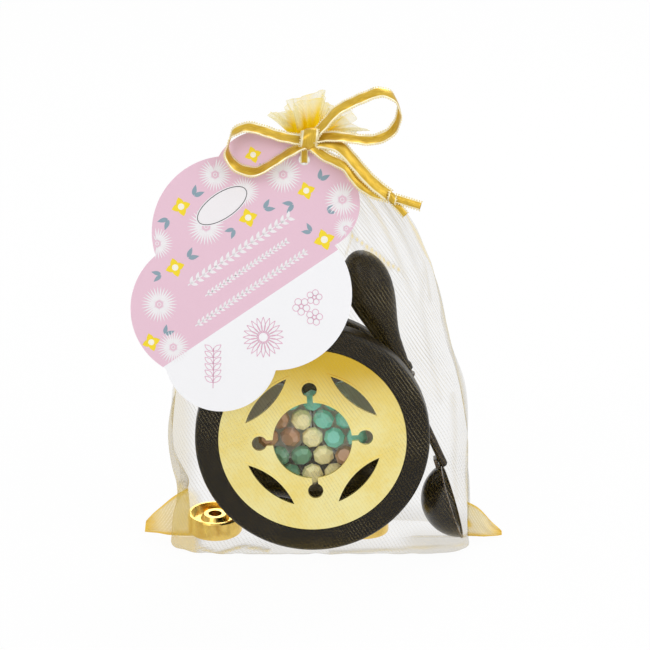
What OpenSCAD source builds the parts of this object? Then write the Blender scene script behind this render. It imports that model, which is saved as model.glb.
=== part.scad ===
// Wax seal set packed in a tied organza gift bag.
// Millimetres. +Z is up, the front faces -Y, and the origin is on the floor under the furnace's axis.

/* [Furnace] */
// Diameter of the wooden ring
ring_d = 105; // [95:1:112]
// Thickness of the wooden ring
ring_t = 13; // [11:0.5:14]
// Rounding of the ring's edges
ring_round = 3; // [1:0.5:4]
// Bore of the ring behind the plate
ring_bore_d = 72; // [62:1:72]
// Diameter of the pierced brass plate
plate_d = 84; // [76:1:88]
// Thickness of the brass plate
plate_t = 1.2; // [0.8:0.1:1.6]
// Height of the pressed lip round each cut-out
lip_h = 0.35; // [0.2:0.05:0.5]
// Width of the pressed lip
lip_w = 0.9; // [0.5:0.1:1.2]
// Diameter of the hole that takes the spoon's bowl
mouth_d = 35.4; // [30:0.2:38]
// Distance of the four keyhole circles from the axis
key_pcr = 23.7; // [22.5:0.1:25]
// Diameter of a keyhole circle
key_d = 6.8; // [4:0.1:8]
// Width of a keyhole's neck
key_neck = 2.6; // [1.5:0.1:3.2]
// Distance of the four lens slots from the axis
slot_pcr = 27.8; // [26.5:0.1:29]
// Length of a lens slot
slot_l = 27.6; // [20:0.2:29]
// Width of a lens slot
slot_w = 6.2; // [4:0.1:7]
// Turn of the furnace about its own axis, seen from the front
furnace_turn = 3.5; // [0:0.5:5]
// Clear space between the ring and the base
candle_gap = 26; // [26:0.5:28]
// Diameter of the wooden base
base_d = 92; // [90:1:94]
// Thickness of the wooden base
base_t = 7; // [6:0.5:9]
// Diameter of a turned post
post_d = 7.5; // [7:0.1:8]
// Depth of a post's tenon in the ring
tenon_l = 5; // [4:0.5:6]
// Diameter of a post's tenon
tenon_d = 5; // [4:0.2:5.4]
// Diameter of a base screw's shank
screw_d = 2.9; // [2.5:0.1:3.1]
// Diameter of a base screw's head
screw_head_d = 6; // [5:0.5:7]

/* [Spoon] */
// Diameter of the bowl's rim
bowl_d = 34; // [30:0.5:35]
// Depth of the bowl
bowl_depth = 13; // [10:0.5:14]
// Wall of the bowl
bowl_wall = 1; // [0.8:0.1:1.4]
// Diameter of the steel neck
neck_rod_d = 3.6; // [3:0.2:4.4]
// Length of the wooden handle
spoon_handle_l = 60; // [54:1:62]
// Largest diameter of the handle
spoon_handle_d = 21.6; // [18:0.2:22]
// Diameter of the handle's waist
spoon_waist_d = 10.4; // [9:0.2:12]

/* [Stamp] */
// Diameter of the stamp's wooden handle
stamp_handle_d = 22; // [18:0.5:22.5]
// Length of the stamp's wooden handle
stamp_handle_l = 62; // [56:1:64]
// Diameter of a brass seal head
head_d = 24.5; // [22:0.5:25]
// Height of a brass seal head
head_h = 9; // [8:0.5:10]
// Diameter of the stud that the head screws onto
stud_d = 6; // [5:0.5:6]
// Length of the stud outside the handle
stud_l = 7; // [5:0.5:7]
// Depth of the engraved motif
motif_depth = 0.8; // [0.4:0.1:1.2]

/* [Candles and wax] */
// Diameter of a tealight
tealight_d = 38; // [34:0.5:38]
// Height of a tealight's cup
tealight_h = 13; // [10:0.5:13]
// Diameter of a wax bead across its corners
bead_d = 9.4; // [8:0.2:9.6]
// Thickness of a wax bead
bead_t = 6; // [5:0.2:6.2]
// Spacing of the beads
bead_pitch = 9.9; // [9.9:0.1:10.4]
// Diameter of the clear pouch
pouch_d = 51; // [50:1:56]

/* [Bag] */
// Width of the filled bag
bag_w = 133; // [131:1:142]
// Height from the floor to the tied neck
neck_z = 181; // [176:1:190]
// Radius of the gathered neck
neck_r = 6.6; // [5:0.2:7.4]
// Height at which the bag starts to narrow
shoulder_z = 45; // [38:1:50]
// Reach of the sewn corner on the left beyond the bag's side
corner_left_l = 12.2; // [8:0.5:16]
// Reach of the sewn corner on the right beyond the bag's side
corner_right_l = 15.6; // [10:0.5:17]
// Height of a sewn corner at its root
corner_h = 16; // [12:0.5:20]
// Thickness of the cloth as modelled
cloth_t = 0.6; // [0.5:0.05:0.7]
// Height of the ruffle above the neck
frill_h = 24; // [18:1:28]
// Reach of the ruffle to each side
frill_w = 24; // [18:1:28]
// Number of folds in the ruffle
frill_folds = 11; // [8:1:12]

/* [Ribbon and tag] */
// Reach of the bow's left loop from its knot
loop_left_l = 35.6; // [30:0.2:38]
// Reach of the bow's right loop from its knot
loop_right_l = 39.9; // [34:0.1:42]
// Reach of the ribbon's tails from the knot
tail_l = 36.9; // [30:0.1:40]
// Width of the satin ribbon
ribbon_w = 6.5; // [5:0.5:7]
// Thickness of the satin ribbon
ribbon_t = 0.5; // [0.4:0.1:0.6]
// Thickness of the tag's card
tag_t = 0.6; // [0.4:0.1:0.8]
// Diameter of the tag's hole
tag_hole_d = 5; // [4.5:0.1:6]
// Lean of the tag from upright
tag_lean = 12; // [12:0.5:14]

/* [Hidden] */
$fn = 64;
fit = 0.3;
thread_fit = 0.08;
// Heights and depths that the pieces share
furnace_z = ring_d / 2 + cloth_t + fit;
ring_front_y = -29;
plate_front = 0.1;
post_start = ring_t;
base_front = ring_t + candle_gap;
post_pcr = base_d / 2 - post_d / 2 - 0.8;
post_waist = post_d / 2 - 1;
post_bore_l = 9;
countersink = 1.5;
stamp_end_x = 22.5 - ring_d / 2;
stamp_bulb = stamp_handle_l - stamp_handle_d;
stamp_waist = 6.5;
stamp_collar_l = 9;
// The stamp lies on the lowest post, and the tealights stand on the stamp
stamp_y = ring_front_y + ring_t + candle_gap / 2;
stamp_on_post_z = furnace_z - post_pcr * cos(furnace_turn) + post_waist + fit
    + stamp_r(post_pcr * sin(furnace_turn) - stamp_end_x);
left_head_tilt = 7;
head_z = cloth_t + fit;
stamp_on_head_z = head_z + head_h + head_d / 2 * sin(left_head_tilt) + 2 * fit + head_d / 2;
stamp_z = max(stamp_on_post_z, stamp_on_head_z);
tealight_x = tealight_d / 2 + 0.15;
// How far above a side post a tealight's middle must be to pass it
beside_post = tealight_d / 2 + post_waist + fit;
over_post = sqrt(max(0, pow(beside_post, 2) - pow(post_pcr * cos(furnace_turn) - tealight_x, 2)));
tealight_right_z = max(stamp_z + stamp_r(tealight_x - stamp_end_x) + 2 * fit + tealight_d / 2,
    over_post == 0 ? 0 : furnace_z + post_pcr * sin(furnace_turn) + over_post);
tealight_left_z = max(stamp_z + head_d / 2 + fit
    + sqrt(pow(tealight_d / 2, 2) - pow(-stamp_end_x + 0.4 - tealight_x, 2)),
    over_post == 0 ? 0 : furnace_z - post_pcr * sin(furnace_turn) + over_post);
tealight_back_y = ring_front_y + base_front - fit;
pouch_front_y = ring_front_y + plate_front + plate_t + 2.3;
pouch_back_y = stamp_y - stamp_handle_d / 2 - fit;
pouch_wall = 0.25;
pouch_round = 3.5;
pouch_z = furnace_z - 1.5;
bead_y = (pouch_front_y + pouch_back_y) / 2;
// Bag, seen from above as a rounded box that draws in to the neck
bag_mid_x = 3.4;
neck_x = -1;
bag_front_y = -31;
bag_back_y = 20.2;
neck_y = -5;
slope_z = 100;
floor_round = 3;
// Spoon, in the upright plane behind the ring
spoon_y = -9;
bowl_tilt = 17;
bowl_mid = [bag_mid_x + bag_w / 2 - 8, spoon_y, head_z + bowl_d / 2 * cos(bowl_tilt) + 1];
neck_top = [post_pcr - 1.85, spoon_y, 79];
spoon_handle_tilt = 20;
ferrule_l = 5;
// Tie
wrap_top = 7;
wrap_front_y = neck_y - neck_r - 2 * ribbon_t - fit;
knot_half = 2.3;
knot = [-1.6, wrap_front_y - fit - knot_half, neck_z + wrap_top + 1.8];
tail_knot_at = knot + tail_l / 36.9 * [36.9, -6.6, -25.6];
tag_hang = [-3.6, wrap_front_y - 1.8, neck_z - 1.2];

// Local +Z runs from the furnace's front to its back
module in_furnace() {
    translate([0, ring_front_y, furnace_z]) rotate([-90, 0, 0]) rotate([0, 0, -furnace_turn]) children();
}

function mix(a, b, t) = a + (b - a) * t;
function arc(cx, cy, r, a0, a1, n = 6) =
    [for (i = [0:n]) let (a = mix(a0, a1, i / n)) [cx + r * cos(a), cy + r * sin(a)]];

// Furnace

module furnace_ring() {
    rebate = plate_front + plate_t + 0.1;
    r = ring_d / 2;
    profile = concat(
        [[ring_bore_d / 2, rebate], [plate_d / 2 + fit, rebate], [plate_d / 2 + fit, 0]],
        arc(r - ring_round, ring_round, ring_round, -90, 0),
        arc(r - ring_round, ring_t - ring_round, ring_round, 0, 90),
        [[ring_bore_d / 2 + 1, ring_t], [ring_bore_d / 2, ring_t - 1]]);
    color("#1d1c1b") in_furnace() difference() {
        rotate_extrude($fn = 128) polygon(profile);
        at_posts() translate([0, 0, ring_t - tenon_l - 0.2]) cylinder(d = tenon_d + 0.1, h = tenon_l + 1);
    }
}

module at_posts() {
    for (a = [0:90:270]) rotate([0, 0, a]) translate([post_pcr, 0, 0]) children();
}

// A pointed oval: where two equal circles overlap
module lens(l, w, grow = 0) {
    r = (l * l / 4 + w * w / 4) / w;
    intersection_for (s = [-1, 1]) translate([s * (r - w / 2), 0]) circle(r = r + grow, $fn = 96);
}

module plate_cuts(grow = 0) {
    circle(d = mouth_d + 2 * grow, $fn = 96);
    for (a = [0:90:270]) rotate(a) {
        translate([key_pcr, 0]) circle(d = key_d + 2 * grow, $fn = 48);
        translate([0, -key_neck / 2 - grow]) square([key_pcr, key_neck + 2 * grow]);
    }
    for (a = [45:90:315]) rotate(a) translate([slot_pcr, 0]) lens(slot_l, slot_w, grow);
}

module furnace_plate() {
    color("#e6cf7c") in_furnace() translate([0, 0, plate_front]) difference() {
        union() {
            cylinder(d = plate_d, h = plate_t, $fn = 128);
            translate([0, 0, -lip_h]) linear_extrude(lip_h + 0.2) plate_cuts(lip_w);
        }
        translate([0, 0, -1]) linear_extrude(plate_t + 2) plate_cuts();
    }
}

module furnace_posts() {
    long = candle_gap;
    profile = [[0, -tenon_l], [tenon_d / 2, -tenon_l], [tenon_d / 2, 0.05], [post_d / 2, 0.05],
        [post_d / 2, 3], [post_waist, 5], [post_waist, long - 0.05], [screw_d / 2 + 0.05, long - 0.05],
        [screw_d / 2 + 0.05, long - post_bore_l], [0, long - post_bore_l]];
    color("#242322") in_furnace() at_posts() translate([0, 0, post_start])
        rotate_extrude() polygon(profile);
}

module furnace_base() {
    r = base_d / 2;
    soft = 2;
    profile = concat([[0, 0]],
        arc(r - soft, soft, soft, -90, 0),
        arc(r - soft, base_t - soft, soft, 0, 90),
        [[0, base_t]]);
    color("#201f1e") in_furnace() translate([0, 0, base_front]) difference() {
        rotate_extrude($fn = 128) polygon(profile);
        translate([0, 0, -1]) cylinder(d = tealight_d + 1, h = 1.6, $fn = 96);
        at_posts() {
            translate([0, 0, -1]) cylinder(d = screw_d + 0.1, h = base_t + 2);
            translate([0, 0, base_t - countersink]) cylinder(d = screw_head_d + 0.6, h = 3);
        }
    }
}

module base_screws() {
    head_t = 1.3;
    shank = base_t - countersink + post_bore_l - 0.5;
    color("#b9a25a") in_furnace() at_posts() translate([0, 0, base_front + base_t - countersink]) difference() {
        union() {
            rotate_extrude() polygon(concat([[0, 0], [screw_head_d / 2, 0]],
                arc(screw_head_d / 2 - 1.2, 0.1, 1.2, 0, 90), [[0, head_t]]));
            translate([0, 0, -shank]) cylinder(d = screw_d, h = shank + 0.1);
        }
        for (a = [0, 90]) rotate([0, 0, a]) translate([-1.5, -0.3, head_t - 0.6]) cube([3, 0.6, 1]);
    }
}

// Spoon

// Local +Z leaves the bowl's open side, and local +X runs up towards the handle
module in_bowl() {
    translate(bowl_mid) rotate([0, -bowl_tilt, 0]) rotate([0, 90, 0]) rotate([0, 0, 180]) children();
}

function cap_r(r, h) = (r * r + h * h) / (2 * h);

module spoon_bowl() {
    outer = bowl_d / 2;
    inner = outer - bowl_wall;
    out_r = cap_r(outer, bowl_depth);
    in_r = cap_r(inner, bowl_depth - bowl_wall);
    out_a = asin(outer / out_r);
    in_a = asin(inner / in_r);
    profile = concat(
        arc(0, out_r - bowl_depth, out_r, -90, -90 + out_a, 16),
        [[outer + 0.5, 0.2], [outer + 0.5, 0.9], [inner, 0.9]],
        arc(0, in_r - bowl_depth + bowl_wall, in_r, -90 + in_a, -90, 16));
    color("#17171a") in_bowl() {
        rotate_extrude($fn = 96) polygon(profile);
        translate([outer + 0.2, -3, -1.4]) cube([4.5, 6, 1.6]);
    }
}

function neck_foot() = bowl_mid + (bowl_d / 2 + 1.2) * [-sin(bowl_tilt), 0, cos(bowl_tilt)]
    + [2.2 * cos(bowl_tilt), 0, 2.2 * sin(bowl_tilt)];
function rod_tilt() = atan2(neck_foot()[0] - neck_top[0], neck_top[2] - neck_foot()[2]);
function rod_l() = norm(neck_top - neck_foot());

module spoon_neck() {
    color("#1c1c1f") translate(neck_foot()) rotate([0, -rod_tilt(), 0]) {
        cylinder(d = neck_rod_d, h = rod_l() + 8);
        sphere(d = neck_rod_d);
    }
}

module spoon_ferrule() {
    r = spoon_waist_d / 2;
    profile = [[neck_rod_d / 2 + 0.05, 0], [r - 1.6, 0], [r - 0.2, 1.2], [r + 0.3, 1.8], [r + 0.3, 2.6],
        [r - 0.3, 3.2], [r - 0.3, ferrule_l - 0.05], [neck_rod_d / 2 + 0.05, ferrule_l - 0.05]];
    color("#2b2b2d") translate(neck_top) rotate([0, -rod_tilt(), 0]) translate([0, 0, -ferrule_l])
        rotate_extrude() polygon(profile);
}

module spoon_handle() {
    l = spoon_handle_l;
    big = spoon_handle_d / 2;
    waist = spoon_waist_d / 2;
    bulb = l - big * 1.55;
    swell = [for (i = [0:10]) let (t = i / 10) [mix(waist, big, (1 - cos(180 * t)) / 2), mix(12, bulb, t)]];
    crown = [for (i = [1:8]) let (a = i * 90 / 8) [big * cos(a), bulb + (l - bulb) * sin(a)]];
    profile = concat([[0, -1.5], [waist + 0.6, -1.5], [waist + 0.6, 2.5], [waist - 0.2, 4]], swell, crown);
    color("#25211e") difference() {
        translate(neck_top) rotate([0, -spoon_handle_tilt, 0]) rotate_extrude() polygon(profile);
        translate(neck_top) rotate([0, -rod_tilt(), 0]) {
            translate([0, 0, -6]) cylinder(d = spoon_waist_d + 6, h = 6);
            translate([0, 0, -1]) cylinder(d = neck_rod_d + 2 * thread_fit, h = 10);
        }
    }
}

// Stamp

// Radius of the stamp's handle at a distance from its head
function stamp_r(x) = x < stamp_bulb
    ? mix(stamp_waist, stamp_handle_d / 2, (1 - cos(180 * max(0, x - stamp_collar_l) / (stamp_bulb - stamp_collar_l))) / 2)
    : stamp_handle_d / 2 * sqrt(1 - pow((x - stamp_bulb) / (stamp_handle_l - stamp_bulb), 2));

// Local +Z runs along the stamp from its head to the handle's end
module in_stamp() {
    translate([stamp_end_x, stamp_y, stamp_z]) rotate([0, 90, 0]) children();
}

module stamp_handle() {
    big = stamp_handle_d / 2;
    collar = head_d / 2 - 3;
    swell = [for (i = [0:10]) let (x = mix(stamp_collar_l, stamp_bulb, i / 10)) [stamp_r(x), x]];
    crown = [for (i = [1:8]) let (a = i * 90 / 8) [big * cos(a), stamp_bulb + 2 * big * sin(a)]];
    profile = concat([[0, 12], [stud_d / 2 + 0.05, 12], [stud_d / 2 + 0.05, 0], [collar, 0], [collar, 4],
        [stamp_waist + 1, 6]], swell, crown);
    color("#1f1d1c") in_stamp() rotate_extrude() polygon(profile);
}

module stamp_stud() {
    color("#c9a94e") in_stamp() translate([0, 0, -stud_l]) {
        cylinder(d = stud_d, h = stud_l + 11.5);
    }
}

// A head stands on its engraved face, with its threaded back up
module seal_head(motif) {
    r = head_d / 2;
    wall = 1.5;
    recess = 2.6;
    boss = stud_d / 2 + 2;
    profile = concat([[0, 0]],
        arc(r - 1.6, 1.6, 1.6, -90, 0),
        [[r, head_h - 0.8], [r - 0.5, head_h], [r - wall, head_h], [r - wall - 0.3, head_h - recess],
        [boss + 1.5, head_h - recess], [boss, head_h - 0.4], [0, head_h - 0.4]]);
    difference() {
        rotate_extrude($fn = 96) polygon(profile);
        translate([0, 0, 1.4]) cylinder(r = stud_d / 2 + thread_fit, h = head_h);
        translate([0, 0, -1]) linear_extrude(1 + motif_depth) motif_cut(motif);
    }
}

// Plain motifs: a star, a heart and a leaf, each in a ring
module motif_cut(motif) {
    difference() {
        circle(r = head_d / 2 - 2.4);
        circle(r = head_d / 2 - 3.2);
    }
    if (motif == "star")
        polygon([for (i = [0:11]) (i % 2 == 0 ? 7 : 3.4) * [sin(i * 30), cos(i * 30)]]);
    if (motif == "heart") {
        for (s = [-1, 1]) translate([s * 2.9, 2]) circle(r = 3.1, $fn = 32);
        polygon([[-5.55, 0.4], [0, -6.4], [5.55, 0.4], [0, 3.2]]);
    }
    if (motif == "leaf") difference() {
        lens(14, 7);
        translate([-0.3, -5]) square([0.6, 10]);
    }
}

module seal_head_fitted() {
    color("#d9ae45") in_stamp() translate([0, 0, -head_h + 0.4 - 0.05]) seal_head("star");
}

// The loose head leans back against the ring's edge
left_head = [stamp_end_x - 13.9, -3.4, head_z];
module seal_head_left() {
    r = head_d / 2;
    color("#d9ae45") translate(left_head + [0, -r + 1.6, 1.6]) rotate([left_head_tilt, 0, 0])
        translate([0, r - 1.6, -1.6]) seal_head("heart");
}

right_head = [22, -1, head_z];
module seal_head_right() {
    color("#d9ae45") translate(right_head) seal_head("leaf");
}

// Candles

// Local +Z runs from a tealight's bottom to its open top, and faces the front
module in_tealight(side) {
    up = side < 0 ? tealight_left_z : tealight_right_z;
    translate([side * tealight_x, tealight_back_y, up]) rotate([90, 0, 0]) children();
}

module tealight_cup(side) {
    r = tealight_d / 2;
    foil = 0.35;
    profile = concat([[0, 0.4], [r - 3, 0.4], [r - 2.6, 0]],
        arc(r - 1.5, 1, 1, -90, 0, 3),
        [[r - 0.4, tealight_h - 0.8], [r, tealight_h - 0.6], [r, tealight_h], [r - 0.4 - foil, tealight_h],
        [r - 0.5 - foil, 1.4], [r - 2, 0.8], [0, 0.8]]);
    color("#c9cbcc") in_tealight(side) rotate_extrude($fn = 96) polygon(profile);
}

module tealight_wax(side) {
    r = tealight_d / 2 - 1.3;
    profile = [[0, 0.9], [r - 1.2, 0.9], [r - 0.2, 1.8], [r, tealight_h - 2.2], [r - 1, tealight_h - 2.7],
        [3, tealight_h - 3], [0, tealight_h - 3]];
    color("#f4efdf") in_tealight(side) difference() {
        rotate_extrude($fn = 96) polygon(profile);
        translate([0, 0, 2]) cylinder(d = 1.3, h = tealight_h, $fn = 24);
    }
}

module tealight_wick(side) {
    color("#efe9d8") in_tealight(side) translate([0, 0, 2.1]) cylinder(d = 1.1, h = tealight_h - 2.4, $fn = 24);
}

// Wax beads

// Places in the pouch, as column and row of a triangular grid, for each colour
teal = [[0, 2], [1, 1.99], [-1, 2], [0.5, 1], [1.5, 1], [2, 0], [1, 0]];
cream = [[0, 0], [-0.5, 1], [0.5, -1], [0, -2], [1, -2]];
copper = [[-2, 0], [-1, 0], [-1.5, 1], [1.5, -1]];
green = [[-1.5, -1], [-0.5, -1], [-1, -2]];

module bead(place) {
    seed = place[0] * 37 + place[1] * 61;
    r = bead_d / 2;
    cap = r * 0.62;
    translate([place[0] * bead_pitch, bead_y + 0.8 * sin(seed * 7), pouch_z + place[1] * bead_pitch * 0.866])
        rotate([90 + 9 * sin(seed * 5), 8 * sin(seed * 11), 0]) rotate([0, 0, seed])
        rotate_extrude($fn = 8) polygon([[0, -bead_t / 2], [cap, -bead_t / 2], [r, -bead_t / 5],
            [r, bead_t / 5], [cap, bead_t / 2], [0, bead_t / 2]]);
}

module beads(places) {
    for (p = places) bead(p);
}

module bead_pouch() {
    r = pouch_d / 2;
    deep = pouch_back_y - pouch_front_y;
    outline = function (in) concat([[0, in]],
        arc(r - pouch_round, pouch_round, pouch_round - in, -90, 0, 4),
        arc(r - pouch_round, deep - pouch_round, pouch_round - in, 0, 90, 4), [[0, deep - in]]);
    flap_w = 24;
    flap_h = 8;
    foot_z = furnace_z - sqrt(pow(ring_bore_d / 2, 2) - pow(flap_w / 2, 2)) + fit;
    foot_h = pouch_z - r - foot_z + 0.15;
    color("#eef2f2", 0.35) translate([0, pouch_front_y, pouch_z]) {
        rotate([-90, 0, 0]) difference() {
            rotate_extrude($fn = 96) polygon(outline(0));
            rotate_extrude($fn = 96) polygon(outline(pouch_wall));
        }
        translate([-flap_w / 2, deep / 2 - 0.5, r - 0.15]) cube([flap_w, 1, flap_h]);
        translate([-flap_w / 2, deep / 2 - 0.5, -r - foot_h + 0.15]) cube([flap_w, 1, foot_h]);
    }
}

// Bag

function bag_t(z) = max(0, min(1, (z - shoulder_z) / (neck_z - shoulder_z)));
function bag_half_w(z) = neck_r + (bag_w / 2 - neck_r)
    * (1 - 0.43 * pow(bag_t(z), 1.3)) * (1 - pow(bag_t(z), 8));
function bag_x(z) = mix(bag_mid_x, neck_x, bag_t(z));
function slope_t(z) = max(0, (z - slope_z) / (neck_z - slope_z));
function front_y(z) = mix(bag_front_y, neck_y - neck_r, slope_t(z));
function back_y(z) = mix(bag_back_y, neck_y + neck_r, pow(slope_t(z), 1.15));

// One point of the bag's wall: a is the direction seen from above, inset draws the section in
function bag_point(z, inset, a, nf, nb) =
    let (yf = front_y(z), yb = back_y(z), mid = (yf + yb) / 2,
         n = mix(sin(a) < 0 ? nf : nb, 2, bag_t(z)),
         w = bag_half_w(z) - inset, d = (yb - yf) / 2 - inset, c = cos(a), s = sin(a))
    [bag_x(z) + w * sign(c) * pow(abs(c), 2 / n), mid + d * sign(s) * pow(abs(s), 2 / n), z];

// Rows of the wall from the seam under the bag up to its neck, as [height, inset]
bag_mid_y = (bag_front_y + bag_back_y) / 2;
bag_half_d = (bag_back_y - bag_front_y) / 2;
rows = concat(
    [[0, bag_half_d - 0.05], [0, bag_half_d * 0.55], [0, floor_round]],
    [for (a = [30, 60]) [floor_round * (1 - cos(a)) + 0.3, floor_round * (1 - sin(a))]],
    [[floor_round + 2, 0], [20, 0], [shoulder_z, 0]],
    [for (t = [0.12, 0.22, 0.32, 0.42, 0.52, 0.62, 0.71, 0.79, 0.86, 0.91, 0.95, 0.98, 1])
        [mix(shoulder_z, neck_z, t), 0]]);

function wall_grid(from, to, steps, skin) =
    [for (row = rows) [for (j = [0:steps]) let (a = mix(from, to, j / steps),
        z = row[0], flat = z < 0.1, p = bag_point(z, row[1] + (flat ? 0 : skin), a, 6, 4))
        [p[0], p[1], max(z, flat ? skin : 0, z < 6 ? z + skin * (1 - z / 6) : 0)]]];

// A sheet with an outer and an inner grid of points, closed round its edge
module sheet(outer, inner) {
    m = len(outer);
    n = len(outer[0]);
    all = concat([for (r = outer) for (p = r) p], [for (r = inner) for (p = r) p]);
    o = function (i, j) i * n + j;
    k = m * n;
    faces = concat(
        [for (i = [0:m - 2]) for (j = [0:n - 2]) each [[o(i, j), o(i + 1, j), o(i + 1, j + 1)],
            [o(i, j), o(i + 1, j + 1), o(i, j + 1)]]],
        [for (i = [0:m - 2]) for (j = [0:n - 2]) each [[k + o(i, j), k + o(i + 1, j + 1), k + o(i + 1, j)],
            [k + o(i, j), k + o(i, j + 1), k + o(i + 1, j + 1)]]],
        [for (j = [0:n - 2]) each [[o(0, j), o(0, j + 1), k + o(0, j + 1)], [o(0, j), k + o(0, j + 1), k + o(0, j)],
            [o(m - 1, j), k + o(m - 1, j + 1), o(m - 1, j + 1)], [o(m - 1, j), k + o(m - 1, j), k + o(m - 1, j + 1)]]],
        [for (i = [0:m - 2]) each [[o(i, 0), k + o(i, 0), k + o(i + 1, 0)], [o(i, 0), k + o(i + 1, 0), o(i + 1, 0)],
            [o(i, n - 1), k + o(i + 1, n - 1), k + o(i, n - 1)], [o(i, n - 1), o(i + 1, n - 1), k + o(i + 1, n - 1)]]]);
    polyhedron(all, faces, convexity = 6);
}

module bag_front() {
    color("#efe6bf", 0.4) translate([0, -fit / 2, 0])
        sheet(wall_grid(180, 360, 18, 0), wall_grid(180, 360, 18, cloth_t));
}

module bag_back() {
    color("#efe6bf", 0.4) translate([0, fit / 2, 0])
        sheet(wall_grid(0, 180, 18, 0), wall_grid(0, 180, 18, cloth_t));
}

// A sewn corner stands out as a flat flap from root to tip
module bag_corner(root_x, low, high, tip, thick) {
    side = sign(tip[0]);
    points = [for (s = [-1, 1]) each [[root_x, bag_mid_y + s * thick, low], [root_x, bag_mid_y + s * thick, high],
        tip + [0, s * 0.4, 1.2], tip + [0, s * 0.4, 0]]];
    faces = [[0, 1, 2, 3], [7, 6, 5, 4], [0, 4, 5, 1], [1, 5, 6, 2], [2, 6, 7, 3], [3, 7, 4, 0]];
    polyhedron(points, side > 0 ? faces : [for (f = faces) [f[3], f[2], f[1], f[0]]]);
}

corner_low = floor_round + 2;
module bag_corner_left() {
    root = bag_mid_x - bag_w / 2 - 0.25;
    color("#e9d999", 0.6) bag_corner(root, corner_low, corner_h, [root - corner_left_l, bag_mid_y, 4.5], 1.5);
}

module bag_corner_right() {
    root = bag_mid_x + bag_w / 2 + 0.25;
    color("#e9d999", 0.6) bag_corner(root, corner_low, corner_h, [root + corner_right_l, bag_mid_y, 0.4], 1.5);
}

// The ruffle: the gathered edge of the bag fills the tie, then flares out in folds above it
module bag_frill() {
    n = 66;
    throat = (wrap_top + fit) / frill_h;
    levels = [0, throat, throat + 0.1, 0.5, 0.75, 1];
    lean = 3.4;
    ring = function (t, skin) [for (j = [0:n - 1]) let (a = j * 360 / n,
        open = max(0, t - throat), flare = pow(open / (1 - throat), 0.75), wave = sin(a * frill_folds) * open,
        rx = mix(neck_r, frill_w, flare) + 2 * wave - skin,
        ry = mix(neck_r, 9.5, flare) + 1.1 * wave - skin)
        [neck_x + lean * flare + rx * cos(a), neck_y + lean * flare + ry * sin(a),
            neck_z + fit + frill_h * t * (1 - flare * (0.42 * pow(cos(a), 2) + 0.3 * max(0, cos(a))))]];
    m = len(levels);
    k = m * n;
    o = function (i, j) i * n + j % n;
    faces = concat(
        [[for (j = [0:n - 1]) j], [for (j = [n - 1:-1:0]) k + j]],
        [for (i = [0:m - 2]) for (j = [0:n - 1]) each [[o(i, j), o(i + 1, j), o(i + 1, j + 1)],
            [o(i, j), o(i + 1, j + 1), o(i, j + 1)]]],
        [for (i = [0:m - 3]) for (j = [0:n - 1]) each [[k + o(i, j), k + o(i + 1, j + 1), k + o(i + 1, j)],
            [k + o(i, j), k + o(i, j + 1), k + o(i + 1, j + 1)]]],
        [for (j = [0:n - 1]) each [[o(m - 1, j), k + o(m - 2, j + 1), o(m - 1, j + 1)],
            [o(m - 1, j), k + o(m - 2, j), k + o(m - 2, j + 1)]]]);
    outer = [for (t = levels) each ring(t, 0)];
    inner = [for (i = [1:m - 1]) each ring(levels[i], cloth_t)];
    color("#edd98a", 0.6) polyhedron(concat(outer, inner), faces, convexity = 8);
}

// Ribbon

// A smooth curve through the given points
function curve_at(p, s) =
    let (n = len(p), i = min(floor(s), n - 2), t = s - i,
         a = p[max(i - 1, 0)], b = p[i], c = p[i + 1], d = p[min(i + 2, n - 1)])
    0.5 * (2 * b + (c - a) * t + (2 * a - 5 * b + 4 * c - d) * t * t + (3 * b - a - 3 * c + d) * t * t * t);
function curve(p, steps) = [for (i = [0:steps]) curve_at(p, i * (len(p) - 1) / steps)];
function unit(v) = v / norm(v);

// A flat ribbon along a curve, its width held as near as it can be to the direction given
module ribbon(path, across, steps = 16, width = ribbon_w) {
    line = curve(path, steps);
    last = len(line) - 1;
    edge = function (s, h) [for (i = [0:last]) let (
        along = unit(line[min(i + 1, last)] - line[max(i - 1, 0)]),
        side = unit(across - (across * along) * along),
        up = cross(along, side)) line[i] + s * side * width / 2 + h * up * ribbon_t / 2];
    sheet([edge(-1, 1), edge(1, 1)], [edge(-1, -1), edge(1, -1)]);
}

module ribbon_wrap() {
    color("#d6aa2e") translate([neck_x, neck_y, neck_z + wrap_top - ribbon_w]) difference() {
        cylinder(r = neck_r + 2 * ribbon_t + fit, h = ribbon_w);
        translate([0, 0, -1]) cylinder(r = neck_r + fit, h = ribbon_w + 2);
    }
}

// Local +Z is the tag's face normal, towards the viewer
module in_tag() {
    translate(tag_hang) rotate([90 - tag_lean, 0, 0]) children();
}

// The ribbon's short strap comes down over the card and goes through its hole
module tag_tie() {
    strap_w = tag_hole_d - 1.6;
    front = tag_t / 2 + fit;
    rise = (knot[2] - tag_hang[2]) / cos(tag_lean) - 4.6;
    color("#c9982a") in_tag() {
        translate([0, 0, -1.2]) cylinder(d = strap_w, h = 1.2 + front + ribbon_t);
        translate([-strap_w / 2, 0, front]) cube([strap_w, rise, ribbon_t]);
    }
}

module bow_knot() {
    color("#d2a32a") translate(knot) rotate([90, 0, 0]) rotate_extrude()
        polygon(concat([[0, -knot_half]], arc(2.2, 0, knot_half, -90, 90, 6), [[0, knot_half]]));
}

module bow_loop_left() {
    s = loop_left_l / 35.6;
    path = [[-4.7, -0.6, -0.8], [-14.3, -1.8, 2], [-21.7, -2.4, 4.7], [-27.7, -2.8, 5.9], [-33.3, -3.2, 3.4],
        [-35.6, -3.6, -1.8], [-35.6, -4.2, -6.9], [-31.4, -4.6, -12], [-24, -4.6, -13.9], [-17.4, -4.2, -10.8],
        [-10, -3, -6.2], [-4.7, -1.4, -3.4]];
    color("#e0b93c") ribbon([for (q = path) knot + s * q], [0.25, 0.8, 0.55], 30);
}

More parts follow.
